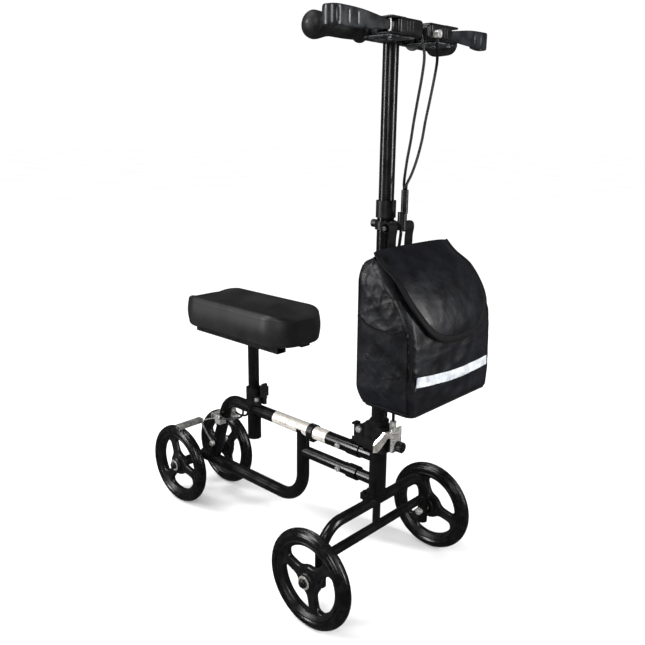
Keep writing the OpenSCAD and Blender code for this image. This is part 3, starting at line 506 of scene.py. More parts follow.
class ScooterBagSettings(bpy.types.PropertyGroup):
    """Sizes of the bag's swell, creases and seams, in millimetres"""

    fullness: FloatProperty(
        name="Fullness", description="How far the panels swell, mm", default=7.0, min=0, max=12
    )
    crumple: FloatProperty(
        name="Crumple", description="Depth of the creases, mm", default=1.5, min=0, max=5
    )
    piping: FloatProperty(
        name="Piping", description="Radius of the piped seams, mm", default=2.0, min=0.5, max=4
    )


class ScooterWheelSettings(bpy.types.PropertyGroup):
    """Tread of the tyres"""

    grooves: IntProperty(name="Grooves", description="Grooves round the tread", default=3, min=0, max=5)
    groove_depth: FloatProperty(
        name="Groove depth", description="Depth of a groove, mm", default=1.3, min=0, max=3
    )


class ScooterStageSettings(bpy.types.PropertyGroup):
    """Strength of each light"""

    key: FloatProperty(name="Key", description="Strength of the high light", default=1.5, min=0)
    strips: FloatProperty(
        name="Strips", description="Power of a strip light", subtype="POWER", default=60.0, min=0
    )
    sky: FloatProperty(
        name="Sky", description="Strength of the light from all round", default=0.72, min=0
    )
    reflections: FloatProperty(
        name="Reflections", description="How bright the surroundings look in gloss", default=0.07, min=0
    )


# ---- knee pad ----
def pad_plan(count=44):
    """Rounded rectangle as corner signs and arc directions, with its straights filled in."""
    arc = np.linspace(0, TAU / 4, count)
    signs, dirs = [], []
    corners = [(1, 1), (-1, 1), (-1, -1), (1, -1)]
    for k, corner in enumerate(corners):
        turn = arc + k * TAU / 4
        signs.append(np.repeat([corner], count, 0))
        dirs.append(np.stack([np.cos(turn), np.sin(turn)], 1))
        along = np.linspace(0, 1, 26)[1:-1, None]
        following = np.array(corners[(k + 1) % 4], float)
        signs.append(np.array(corner) * (1 - along) + following * along)
        dirs.append(np.repeat(dirs[-1][-1:], len(along), 0))
    return np.vstack(signs), np.vstack(dirs)


def pad_shell(pad):
    """Closed pad: a rounded-rectangle outline drawn in by a profile that rises from the middle of
    the underside, over a swollen side, to the middle of the dished top."""
    half = (PAD_HIGH[:2] - PAD_LOW[:2]) / 2
    centre = (PAD_HIGH[:2] + PAD_LOW[:2]) / 2
    low, high = PAD_LOW[2], PAD_HIGH[2]
    corner = min(62.0, half[1] - 12)
    turn = np.linspace(0, TAU / 4, 10)
    side = np.linspace(0, 1, 16)
    foot = 7.0
    inset = np.concatenate(
        [half[1] - (half[1] - foot) * np.linspace(0.02, 1, 10) ** 0.8,
         foot - foot * np.sin(turn[1:]),
         -pad.bulge * np.sin(math.pi * side[1:-1]),
         pad.edge - pad.edge * np.cos(turn),
         pad.edge + (half[1] - pad.edge) * np.linspace(0, 0.985, 40)[1:]]
    )
    top_from = high - pad.edge
    height = np.concatenate(
        [np.full(10, low), low + foot - foot * np.cos(turn[1:]),
         (low + foot + (top_from - low - foot) * side)[1:-1],
         top_from + pad.edge * np.sin(turn), np.full(39, high)]
    )
    signs, dirs = pad_plan()
    drawn = np.clip(inset, None, corner)[:, None, None]
    shrink = np.clip(inset - corner, 0, None)[:, None, None]
    room = np.clip(half - corner - shrink * (half - corner) / (half[1] - corner), 0, None)
    xy = signs[None] * room + dirs[None] * (corner - drawn)
    y = xy[..., 1]
    on_top = smoothstep(top_from - 2, high, height)[:, None]
    hollow = pad.dish * np.clip(1 - (y / (half[1] - 9)) ** 2, 0, 1) ** 1.2
    z = height[:, None] - on_top * hollow
    # the rim falls away a little at both ends, and the sides pull in between the corners
    end = np.abs(xy[..., 0]) / half[0]
    z = z - on_top * 3.0 * smoothstep(0.86, 1.0, end)
    waist = 1 - 0.012 * np.cos(xy[..., 0] / half[0] * math.pi / 2)
    points = np.stack([xy[..., 0] + centre[0], y * waist + centre[1], z], -1)
    return grid(points)


class SCOOTER_OT_pad(bpy.types.Operator):
    """Makes the dished knee pad"""

    bl_idname = "scooter.pad"
    bl_label = "Knee pad"

    def execute(self, context):
        cover = build(
            "knee_pad_cover", [pad_shell(context.scene.scooter_pad)], pad_leather(), "seat",
            ["knee_pad"], sharp=70,
        )
        return {"FINISHED"}


# ---- bag ----
BAG_LOW, BAG_HIGH = (np.array(c) / MM - (COLUMN_X / MM, 0, 0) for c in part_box("bag_body"))
BAG_CREST = (BAG_LOW[0] + 34, BAG_HIGH[2] - 7)
BAG_FRONT_Z = BAG_HIGH[2] - 116
BAG_BACK_Z = BAG_HIGH[2] - 18
CORNER = 15.0


def crumple(points, size, seed, count=26):
    """Soft creases: ridged waves in set directions, each as deep as it is long."""
    rng = np.random.default_rng(seed)
    total = np.zeros(points.shape[:-1])
    for _ in range(count):
        length = rng.uniform(28, 130)
        direction = unit(rng.normal(size=3))
        phase = rng.uniform(0, TAU)
        wave = np.sin(points @ direction * TAU / length + phase + 0.8 * np.sin(points[..., 2] / 37 + phase))
        total += (1 - np.abs(wave)) ** 2 * length / 130
    return size * (total / total.std() - total.mean() / total.std()) * 0.5


def settle(z):
    """How far the cloth sinks at the top of the bag, where nothing holds it up."""
    return 7.0 * smoothstep(BAG_HIGH[2] - 60, BAG_HIGH[2], z)


def bag_section(z):
    """Back, front and half width of the bag at each height, before it swells."""
    low, high = BAG_LOW, BAG_HIGH
    slope = (high[0] - BAG_CREST[0]) / (BAG_CREST[1] - BAG_FRONT_Z)
    behind = (z - BAG_FRONT_Z) * slope
    front = high[0] - (behind + np.sqrt(behind**2 + 28**2)) / 2
    back = low[0] + np.clip(z - BAG_BACK_Z, 0, None) * 1.6
    tuck = np.clip((low[2] + 34 - z) / 34, 0, 1)
    back = back + 16 * tuck**2
    half = high[1] - 4 * tuck - 14 * smoothstep(BAG_BACK_Z - 45, high[2], z)
    return back, front, half


def bag_point(u_sign, u_dir, z, bag):
    """A point on the swollen shell from its place round the plan and its height."""
    back, front, half = (v[:, None] for v in bag_section(z))
    zz = z[:, None]
    r = np.minimum(CORNER, np.minimum((front - back) / 2 - 0.5, half - 1))
    cx, hx = (front + back) / 2, (front - back) / 2
    x = cx + u_sign[None, :, 0] * (hx - r) + u_dir[None, :, 0] * r
    y = u_sign[None, :, 1] * (half - r) + u_dir[None, :, 1] * r
    full = np.sin(math.pi * np.clip((zz - BAG_LOW[2]) / (BAG_HIGH[2] - BAG_LOW[2]), 0, 1)) ** 0.7
    ahead = np.clip(u_dir[None, :, 0], 0, 1) * np.clip(1 - (y / half) ** 2, 0, 1)
    aside = np.abs(u_dir[None, :, 1]) * np.clip(1 - ((x - cx) / np.maximum(hx, 1)) ** 2, 0, 1)
    x = x + bag.fullness * full * ahead
    y = y + np.sign(y) * 0.55 * bag.fullness * full * aside
    crest_falls = 11.0 * (y / half) ** 4 * smoothstep(BAG_HIGH[2] - 60, BAG_HIGH[2], zz)
    return np.stack([x, y, zz - crest_falls - settle(zz)], -1)


def bag_shell(bag):
    """Closed bag: rounded rectangles lofted from the floor to the crest, then creased."""
    signs, dirs = pad_plan(14)
    rise = np.linspace(0, 1, 150)
    z = BAG_LOW[2] + (BAG_HIGH[2] - BAG_LOW[2]) * rise
    points = bag_point(signs, dirs, z, bag)
    middle_line = points.mean(1, keepdims=True)
    # the floor and the crest close over a rounded edge
    turn = np.linspace(0.04, TAU / 4, 9)
    bottom = middle_line[:1] + (points[:1] - middle_line[:1]) * np.sin(turn)[:, None, None] ** 0.4
    bottom[..., 2] = BAG_LOW[2] + 1.8 * (1 - np.sin(turn))[:, None]
    points[..., 2] += 3 * (1 - smoothstep(0, 0.04, rise))[:, None]
    top = middle_line[-1:] + (points[-1:] - middle_line[-1:]) * np.cos(turn)[:, None, None]
    points = np.concatenate([bottom, points, top])
    outward = unit(points - points.mean(1, keepdims=True)) * (1, 1, 0)
    mask = smoothstep(BAG_LOW[2], BAG_LOW[2] + 30, points[..., 2])
    points = points + outward * (mask * crumple(points, bag.crumple, 11))[..., None]
    return grid(points)


def front_x(y, z, bag):
    """How far forward the bag's front stands at a place on it."""
    _, front, half = bag_section(np.atleast_1d(z).astype(float))
    full = np.sin(math.pi * np.clip((z - BAG_LOW[2]) / (BAG_HIGH[2] - BAG_LOW[2]), 0, 1)) ** 0.7
    return front + bag.fullness * full * np.clip(1 - (y / half) ** 2, 0, 1)


def flap_side(s):
    """The flap's path in side view, down the bag's front from its crest, and its normal."""
    z = np.linspace(BAG_HIGH[2], BAG_FRONT_Z - 100, 260)
    fine = np.stack([bag_section(z)[1], z - settle(z)], 1)
    steps = np.concatenate([[0], np.cumsum(np.linalg.norm(np.diff(fine, axis=0), axis=1))])
    at, ahead, behind = (
        np.stack([np.interp(s + shift, steps, fine[:, k]) for k in range(2)], -1) for shift in (0, 2, -2)
    )
    t = unit(ahead - behind)
    return at, np.stack([-t[..., 1], t[..., 0]], -1)


FLAP_LENGTH = 186.0
FLAP_HALF = 113.0
POCKET_FOOT = BAG_LOW[2] + 8


def flap_outline(count=150):
    """Outline of the flap laid flat, as (along, across): straight at the crest, round at the end."""
    a = np.linspace(0, math.pi, 90)
    straight = 86.0
    along = straight + (FLAP_LENGTH - straight) * np.sin(a) ** 0.86
    across = FLAP_HALF * np.sign(np.cos(a)) * np.abs(np.cos(a)) ** 0.8
    round_end = np.stack([along, across], 1)
    left = np.stack([np.linspace(0, straight, 30)[:-1], np.full(29, FLAP_HALF)], 1)
    left[:, 1] -= 7 * (1 - left[:, 0] / straight) ** 2
    right = left[::-1] * (1, -1)
    top = np.stack([np.zeros(40), np.linspace(-left[0, 1], left[0, 1], 42)[1:-1]], 1)
    ring = np.vstack([left, round_end, right, top])
    return evenly(np.vstack([ring, ring[:1]]), count + 1)[:-1]


def flap_place(flat, lift, bag):
    """A point of the flat flap laid over the bag, a lift above its path."""
    s, y = flat[..., 0], flat[..., 1]
    at, normal = flap_side(s)
    swell = bag.fullness * 1.1 * np.clip(1 - (y / 125) ** 2, 0, 1) * smoothstep(0, 70, s)
    droop = 8.0 * (np.abs(y) / FLAP_HALF) ** 4 * (1 - smoothstep(20, 70, s))
    clear = 2.0 + 3.0 * smoothstep(30, 90, s)
    out = at + normal * (lift + clear + swell - droop)[..., None]
    return np.stack([out[..., 0], y, out[..., 1]], -1)


def flap_shell(bag):
    """Closed flap: rings drawn in from the outline, puffed above and flat below."""
    ring = flap_outline()
    centre = np.array([FLAP_LENGTH * 0.46, 0.0])
    r = np.concatenate([(1 - np.linspace(0, 1, 44) ** 1.4)[:-1], [0.012, 0.003]])
    flat = centre + (ring - centre)[None] * r[:, None, None]
    puff = 1.2 + 5.0 * (1 - r**6)
    above = flap_place(flat, np.broadcast_to(puff[:, None], flat.shape[:2]), bag)
    above[..., 0] += crumple(above, 0.9, 5) * (1 - r**4)[:, None]
    above[..., 2] += crumple(above, 0.7, 6) * (1 - r**4)[:, None]
    below = flap_place(flat, np.full(flat.shape[:2], -0.6), bag)
    return grid(np.concatenate([above[::-1], below]))


def along_outline(flat, lift, bag, half_width, half_height, closed=False):
    """A soft tape sewn along a line on the flap, its face square to the cloth."""
    path = flap_place(flat, np.full(len(flat), lift), bag)
    _, normal = flap_side(flat[:, 0])
    lean = np.stack([normal[:, 0], 0 * normal[:, 0], normal[:, 1]], -1)
    section = soft_square(20, half_height, half_width, 3.0)
    return sweep(path, section, lean, closed)


class SCOOTER_OT_bag(bpy.types.Operator):
    """Makes the bag's shell, its flap, seams, pockets, tape and straps"""

    bl_idname = "scooter.bag"
    bl_label = "Bag"

    def execute(self, context):
        bag = context.scene.scooter_bag
        nylon, tape = bag_nylon(), webbing()
        build("bag_shell", [bag_shell(bag)], nylon, "column", ["bag_body"], sharp=180)
        flap = build(
            "bag_flap_cover", [flap_shell(bag)], nylon, "bag_lid", ["bag_flap"], sharp=180
        )
        ring = flap_outline(260)
        edge = ring[(ring[:, 0] > 2)]
        first = np.argmax(np.linalg.norm(np.diff(np.vstack([edge, edge[:1]]), axis=0), axis=1)) + 1
        edge = np.roll(edge, -first, 0)
        binding = build(
            "flap_binding", [along_outline(edge * (1, 0.975) - (1.5, 0), 1.6, bag, 6.5, 2.8)],
            tape, "bag_lid", sharp=180,
        )
        flat_area(flap_outline())
        build("bag_piping", seams(bag), tape, "column", sharp=180)
        tape_strip = build(
            "bag_reflective_strip", [strip(bag)], reflective_tape(), "column", sharp=60
        )
        panel, hem = pockets(bag)
        for side, sign in SIDES.items():
            cloth, edging = (panel, hem) if sign > 0 else (mirrored(panel), mirrored(hem))
            pocket = build(f"bag_{side}_pocket", [cloth], nylon, "column", sharp=180)
            elastic = build(f"bag_{side}_pocket_hem", [edging], tape, "column", sharp=180)
        build("bag_hanging_straps", hangers(), tape, "column", ["bag_straps"], sharp=60)
        return {"FINISHED"}


def seams(bag):
    """Piping down both front edges and round the bag's floor, on the swollen shell."""
    z = np.linspace(BAG_LOW[2] + 4, BAG_FRONT_Z + 6, 90)
    sign = np.array([[1.0, 1.0]])
    lean = unit(np.array([[1.0, 1.0]]))
    line = bag_point(sign, lean, z, bag)[:, 0]
    line = line + np.stack([crumple(line, 0.5, 3)] * 2 + [0 * z], -1) + (0.6, 0.6, 0)
    edge = tube(line, bag.piping, across=(1, 0, 0), count=10)
    signs, dirs = pad_plan(14)
    floor = bag_point(signs, dirs, np.array([BAG_LOW[2] + 5.0]), bag)[0]
    rim = tube(floor, bag.piping * 0.9, across=(0, 0, 1), count=10, closed=True)
    corner = np.array([[-1.0, 1.0]])
    back = bag_point(corner, unit(corner), np.linspace(BAG_LOW[2] + 6, BAG_BACK_Z - 4, 80), bag)[:, 0]
    rear = tube(back, bag.piping * 0.9, across=(1, 0, 0), count=10)
    return [edge, mirrored(edge), rim, rear, mirrored(rear)]


def strip(bag):
    """Tape across the front, a curved sheet 1 mm thick that dips towards the middle."""
    t = np.linspace(0, 1, 70)
    y = -113 + 221 * t
    z = 512 - 8 * t - 5 * np.sin(math.pi * t)
    x = front_x(y, z, bag) + 1.8 + 0.7 * np.sin(y / 11) * np.sin(y / 29)
    path = np.stack([x, y, z], -1)
    return sweep(path, soft_square(24, 0.8, 9.0, 8.0), (1, 0, 0))


def pocket_rim(u):
    """Height of a pocket's upper edge along its width, sagging between the seams."""
    return 612 - 16 * np.sin(math.pi * u) ** 0.8 - 8 * u


def flat_area(outline):
    """Area inside a closed outline drawn flat, in square metres."""
    x, y = outline.T
    return float(abs(np.sum(x * np.roll(y, -1) - y * np.roll(x, -1)))) / 2 * MM * MM


def pockets(bag):
    """A cloth panel on each side, its elastic upper edge sagging between the seams."""
    u = np.linspace(0.02, 0.98, 60)
    rim = pocket_rim(u)
    rows = np.linspace(0, 1, 60)[:, None]
    z = POCKET_FOOT * (1 - rows) + rim * rows
    back, front, half = (v.reshape(z.shape) for v in bag_section(z.ravel()))
    x = back + 6 + (front - back - 12) * u
    full = np.sin(math.pi * np.clip((z - BAG_LOW[2]) / (BAG_HIGH[2] - BAG_LOW[2]), 0, 1)) ** 0.7
    belly = np.clip(1 - (2 * u - 1) ** 2, 0, 1)
    y = half + 0.55 * bag.fullness * full * belly + 1.0 + 3.5 * belly * smoothstep(0.6, 1.0, rows)
    outer = np.stack([x, y, z], -1)
    outer[..., 1] += crumple(outer, 1.1, 21) * (0.2 + belly) * 0.7
    inner = outer - (0, 3.4, 0)
    panel = np.concatenate([outer, inner[::-1]])
    hem = tube(outer[-1], 1.7, across=(0, 1, 0), count=10)
    return close_sides(panel), hem


def close_sides(points):
    """A slab of two sheets joined all round: its open side edges get their own faces."""
    rows, columns = points.shape[:2]
    faces = [tuple(f) for f in quads(rows, columns, True, False).tolist()]
    half = rows // 2
    for edge in (0, columns - 1):
        for i in range(half - 1):
            a, b = i * columns + edge, (i + 1) * columns + edge
            c, d = (rows - 2 - i) * columns + edge, (rows - 1 - i) * columns + edge
            faces.append((a, b, c, d) if edge == 0 else (d, c, b, a))
    vertices = points.reshape(-1, 3)
    return vertices, facing_out(vertices, faces)


def hangers():
    """Webbing from the bag's upper rear edge round the bracket's bar and down again."""
    line = curve_through(
        [(BAG_LOW[0] - 1, 25, BAG_BACK_Z - 62), (BAG_LOW[0] - 2.6, 25, BAG_BACK_Z - 20),
         (BAG_LOW[0] - 2.4, 25, BAG_BACK_Z + 20), (38, 25, 748), (36, 25, 757), (29, 25, 759.5),
         (22.5, 25, 756), (22, 25, 748), (27, 25, 743.5), (33, 25, 742)], 80,
    )
    strap = sweep(line, soft_square(16, 1.1, 12.0, 6.0), (1, 0, 1))
    return [strap, mirrored(strap)]


# ---- wheels ----
WHEEL_R = AXLE_Z
TYRE_HALF = 14.0
RIM_R = 80.0


def tyre_profile(wheel):
    """Tyre section: a round crown with grooves, a lip each side, and its seat on the rim."""
    a = np.linspace(-TAU / 4 - 0.15, TAU / 4 + 0.15, 150)
    r = WHEEL_R - TYRE_HALF + TYRE_HALF * np.cos(a)
    y = (TYRE_HALF - 0.2) * np.sin(a)
    spots = (np.arange(wheel.grooves) - (wheel.grooves - 1) / 2) * 5.0
    cut = sum(np.exp(-((y - at) / 0.75) ** 4) for at in spots) * wheel.groove_depth
    lip = 0.9 * (np.exp(-((np.abs(y) - 11.4) / 0.8) ** 2)) * (r > WHEEL_R - TYRE_HALF)
    r = r - cut * (np.cos(a) > 0) - lip
    seat = [(RIM_R + 0.1, TYRE_HALF - 3.0), (RIM_R + 0.1, -TYRE_HALF + 3.0)]
    return np.vstack([np.stack([r, y], 1), seat])


def rim_ring():
    """Rim: a channel with rounded lips, hollow on its inner face."""
    lip, deep = 10.9, 3.2
    outer = [(RIM_R, -lip), (RIM_R, lip)]
    a = np.linspace(0, math.pi, 9)
    edge = np.stack([RIM_R - 2.4 + 2.2 * np.cos(a) * 0.9, lip + 1.2 * np.sin(a)], 1)
    inner = np.array(
        [(RIM_R - 5.0, lip - 1.0), (RIM_R - 9.8, lip - deep), (RIM_R - 11.6, lip - deep - 2.5)]
    )
    half = np.vstack([edge, inner])
    other = half[::-1] * (1, -1)
    return np.vstack([[outer[0]], [outer[1]], half, other])


def spoke(angle):
    """A spoke: soft squares from the hub to the rim, flared at both ends and dished on its faces."""
    t = np.linspace(0, 1, 40)
    r = 12 + (RIM_R - 6 - 12) * t
    width = 11.0 + 13 * np.exp(-((r - 14) / 11) ** 2) + 24 * smoothstep(52, 76, r) ** 2
    depth = 7.2 - 1.2 * np.sin(math.pi * t)
    section = np.stack([soft_square(40, w, d, 4.5) for w, d in zip(width, depth)])
    bend = (section[..., 0] ** 2) / (2 * r[:, None]) * smoothstep(40, 76, r)[:, None]
    section[..., 1] *= 1 - 0.22 * np.clip(1 - (section[..., 0] / (0.6 * width[:, None])) ** 2, 0, 1)
    c, s = math.cos(angle), math.sin(angle)
    radial = r[:, None] - bend
    x = c * radial - s * section[..., 0]
    z = s * radial + c * section[..., 0]
    return grid(np.stack([x, section[..., 1], z], -1))


def hub_profile():
    """Hub: radius and place along the axle, from one face round to the other."""
    return np.array(
        [(6.2, -15), (15.5, -15), (17.5, -14), (18.6, -12), (19, -8), (23, -7.4), (26.5, -6.4), (28, -4),
         (28, 4), (26.5, 6.4), (23, 7.4), (19, 8), (18.6, 12), (17.5, 14), (15.5, 15), (6.2, 15)], float
    )


SPOKE_ANGLES = {"front_left": 108, "front_right": 42, "rear_left": 49, "rear_right": 108}


def moved(part, offset):
    """The same form at another place."""
    return part[0] + offset, part[1]


class SCOOTER_OT_wheels(bpy.types.Operator):
    """Makes the four wheels: tyres, spoked rims and the caps on their bolts"""

    bl_idname = "scooter.wheels"
    bl_label = "Wheels"

    def execute(self, context):
        wheel = context.scene.scooter_wheel
        for name in WHEELS:
            centre = (np.array(middle(f"{name}_rim")) - (COLUMN_X, 0, 0)) / MM
            body = f"{name}_wheel"
            build(
                f"{name}_tyre_tread", [lathe(tyre_profile(wheel), centre, count=160)],
                tyre_rubber(), body, [f"{name}_tyre"], sharp=50,
            )
            start = math.radians(SPOKE_ANGLES[name])
            parts = [lathe(rim_ring(), centre, count=144), lathe(hub_profile(), centre, count=64)]
            parts += [moved(spoke(start + k * TAU / 3), centre) for k in range(3)]
            build(
                f"{name}_rim_moulding", parts, moulded_nylon(), body,
                [f"{name}_rim"], sharp=35,
            )
            side = math.copysign(1, centre[1])
            carrier = "steering" if name.startswith("front") else "frame"
            build(
                f"{name}_bolt_cap", [cap(centre, side)], moulded_nylon(), carrier,
                sharp=40,
            )
            washer = [(9.2, 0), (13.5, 0), (13.9, 0.5), (13.5, 1.5), (9.2, 1.5)]
            ring = lathe(np.array(washer) + (0, abs(centre[1]) + 16.6), (centre[0], 0, centre[2]), count=64)
            build(
                f"{name}_bolt_washer", [ring if side > 0 else mirrored(ring)], polished_steel(), carrier,
                sharp=40,
            )
        return {"FINISHED"}


def cap(centre, side):
    """A domed plastic nut cap over the bolt's end."""
    y0 = abs(centre[1]) + 17.3
    profile = np.array([(0.4, 0), (8.6, 0), (8.9, 0.8), (8.7, 4.5), (7.6, 6.4), (5.2, 7.4), (0.4, 7.8)])
    part = lathe(profile + (0, y0), (centre[0], 0, centre[2]), count=48)
    return part if side > 0 else mirrored(part)


# ---- handlebar ----
def grip():
    """Grip: rings round the bar, flared rear and down into a palm rest, with a domed end."""
    inner, end = 72.0, 200.0
    t = np.concatenate([np.linspace(0, 0.9, 110), 1 - 0.1 * (1 - np.sin(np.linspace(0, TAU / 4, 22)[1:]))])
    y = inner + (end - inner) * t
    a = np.arange(72) * TAU / 72
    base = 15.6 + 4.4 * np.exp(-((y - 74) / 3.2) ** 4) + 3.0 * smoothstep(150, 185, y)
    base += 0.9 * np.sin(math.pi * np.clip((y - 82) / 70, 0, 1))
    ribbed = smoothstep(84, 90, y) * (1 - smoothstep(138, 146, y))
    ridge = 0.45 * np.clip(np.sin(y * TAU / 4.2), 0, 1) * ribbed
    dome = np.sqrt(np.clip(1 - np.clip((y - 187) / 13, 0, 1) ** 2, 0, 1))
    palm = 18.5 * np.exp(-(((y - 166) / 17) ** 2)) + 4.0 * np.exp(-(((y - 184) / 9) ** 2))
    lean = np.clip(np.cos(a - math.radians(192)), 0, 1) ** 2.2
    r = (base + ridge)[:, None] * np.maximum(dome, 0.03)[:, None]
    r = r + palm[:, None] * lean[None] * dome[:, None]
    x = -8 + r * np.cos(a)
    z = BAR_Z + r * np.sin(a)
    return grid(np.stack([x, np.broadcast_to(y[:, None], r.shape), z], -1))


def lever_path():
    """Plan of a lever's band: straight from its pivot, then a half circle back to the grip."""
    front, end, radius = 62.0, 219.0, 14.0
    straight = np.stack([np.full(60, front), np.linspace(84, end - 16.5, 60)], 1)
    a = np.linspace(0, math.radians(196), 40)[1:]
    bend = np.stack([front - radius + radius * np.cos(a), end - 16.5 + radius * np.sin(a)], 1)
    return evenly(np.vstack([straight, bend]), 130)


def lever_band():
    """Lever: an upright band whose height grows out of the housing, with three finger notches."""
    plan = lever_path()
    s = np.concatenate([[0], np.cumsum(np.linalg.norm(np.diff(plan, axis=0), axis=1))])
    half = 7.0 + 8.0 * np.sin(TAU / 4 * np.clip(s / 105, 0, 1)) - 4.0 * smoothstep(s[-1] - 22, s[-1], s)
    notch = sum(np.exp(-(((s - at) / 1.6) ** 2)) for at in (80, 101, 124)) * 0.9
    thick = 2.7 - 0.8 * smoothstep(s[-1] - 8, s[-1], s)
    section = np.stack([soft_square(36, th, h, 5.0) for th, h in zip(thick, half)])
    section[..., 0] -= notch[:, None] * (section[..., 0] > 1) * (np.abs(section[..., 1]) < 9)
    path = np.column_stack([plan, BAR_Z + 2 + 1.0 * smoothstep(18, 74, s)])
    normal = unit(np.gradient(plan, axis=0))
    lean = np.column_stack([normal[:, 1], -normal[:, 0], 0 * s])
    return sweep(path, section, lean)


def housing():
    """Housing: a rounded block, open towards the lever between two cheeks, with ribs."""
    z0, z1 = BAR_Z - 13, BAR_Z + 15
    block = rounded_box((42, 10, z0), (76, 76, z1), 6.0)
    nose = rounded_box((46, 7, z0 + 4), (72, 16, z1 - 4), 3.0)
    levels = ((z0 + 0.2, z0 + 4.1), (z1 - 4.1, z1 - 0.2))
    cheeks = [rounded_box((43, 56, a), (75, 94, b), 1.9) for a, b in levels]
    back = rounded_box((42.4, 56, z0 + 0.4), (47.5, 93, z1 - 0.4), 2.0)
    ribs = [rounded_box((74.5, y, z0 + 5), (77.2, y + 2.4, z1 - 5), 1.0, 6) for y in (40, 48, 56)]
    return [block, nose, *cheeks, back, *ribs]


def plate():
    """Stamped plate under the housing with one long slot, and its clamp ring on the bar."""
    z = BAR_Z - 13.4
    ring = lathe([(11.2, 30), (14.6, 30), (14.6, 58), (11.2, 58)], (-8, 0, BAR_Z), count=48)
    rails = [
        rounded_box((-2, 31, z - 3), (24, 57, z), 1.2, 5),
        rounded_box((20, 31, z - 3), (72, 41, z), 1.2, 5),
        rounded_box((30, 38, z - 3), (72, 50, z), 1.2, 5),
        rounded_box((20, 84, z - 3), (72, 98, z), 1.2, 5),
        rounded_box((20, 38, z - 3), (26, 88, z), 1.2, 5),
        rounded_box((46, 46, z - 3), (72, 90, z), 1.2, 5),
    ]
    return [ring, *rails]


class SCOOTER_OT_handlebar(bpy.types.Operator):
    """Makes the grips, levers, housings and plates of the handlebar"""

    bl_idname = "scooter.handlebar"
    bl_label = "Handlebar"

    def execute(self, context):
        held = grip()
        build(
            "hand_grips", [held, mirrored(held)], grip_rubber(), "handlebar", ["grips"],
            sharp=60,
        )
        # a thin near-black disc on each grip's domed tip: painted shade standing in for the hole there
        hole_shade = lathe([(0.2, 199.4), (2.6, 199.4), (2.6, 200.4), (0.2, 200.4)], (-8, 0, BAR_Z), count=24)
        build("grip_end_hole_shades", [hole_shade, mirrored(hole_shade)], cable_sheath(), "handlebar")
        band = lever_band()
        for side, sign in SIDES.items():
            part = band if sign > 0 else mirrored(band)
            build(
                f"{side}_lever_band", [part], lever_coat(), f"{side}_lever",
                [f"{side}_brake_lever"], sharp=40,
            )
        blocks = housing()
        build(
            "lever_housing_shells", blocks + [mirrored(b) for b in blocks], moulded_nylon(),
            "handlebar", ["lever_housings"], sharp=40,
        )
        plates = plate()
        build(
            "lever_plate_stampings", plates + [mirrored(p) for p in plates], plated_stamping(),
            "handlebar", ["lever_plates"], sharp=40,
        )
        return {"FINISHED"}


# ---- cables ----
LEFT_ROUTE = [
    (81, 22, 1071), (81, 22, 1066), (78, 26, 1056), (74, 34, 1046), (69, 41, 1032), (64, 42, 1006),
    (60, 38, 972), (55, 34, 935), (52, 31, 905), (48, 24, 872), (45, 14, 846), (42, 5, 829),
    (42, 3.2, 823), (42, 3.2, 818.3),
]
RIGHT_ROUTE = [
    (62, -2, 1080), (63, 1, 1076), (64, 2.5, 1068), (67, 4, 1054), (68, 5, 1036), (65, 4, 1006),
    (60, 2, 971), (55, 0, 935), (52, -2, 905), (48, -5, 872), (45, -6, 846), (42, -4, 829),
    (42, -3.2, 823), (42, -3.2, 818.3),
]
LOWER_ROUTE = [
    (36, 0, 745.7), (36, 0, 738), (34, 0, 722), (31, 0, 695), (29.5, 0, 640), (29, 0, 560),
    (30, 0, 490), (32, 0, 445), (34, 0, 405), (34.5, 0, 385), (34.5, 0, 372),
]
REAR_ROUTE = [
    (-408, 8, 274), (-408, 8, 266), (-411, 8.5, 259), (-418, 10, 252), (-430, 13, 247),
    (-446, 18, 242), (-458, 22, 239.5), (-467, 24, 239), (-473.8, 24, 239),
]


def brake_arm():
    """Brake arm and its wire: a channel across the tyre, a slim strut to the pivot and its eye."""
    low, high = (np.array(c) / MM - (COLUMN_X / MM, 0, 0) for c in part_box("left_brake_arm"))
    pin = np.array(middle("brake_pivot_pin")) / MM - (COLUMN_X / MM, 0, 0)
    x, z, inner, outer = REAR_X + 20, high[2] - 13, low[1], high[1]
    roof = rounded_box((x - 8, inner, z + 9), (x + 8, outer, z + 12), 1.2, 6)
    walls = [rounded_box((x + a, inner, z), (x + a + 2.4, outer, z + 11), 1.1, 6) for a in (-8, 5.6)]
    foot = (x + 2, inner + 2.5, z + 8)
    y = inner + 1.5
    line = [
        foot, (x * 0.7 + pin[0] * 0.3, y, z * 0.7 + pin[2] * 0.3), (pin[0] - 3, y, pin[2] + 4),
        (pin[0], y, pin[2] + 6),
    ]
    strut = tube(curve_through(line, 30), 2.4, across=(0, 1, 0))
    eye = lathe([(3.2, -1.5), (7.6, -1.5), (7.6, 1.5), (3.2, 1.5)], (pin[0], y, pin[2]), count=40)
    wire = tube(curve_through([(-473.8, 24, 239), (-500, 24, 231), (x + 9, 26, z + 8)], 20), 1.1, count=10)
    return [roof, *walls, strut, eye], wire


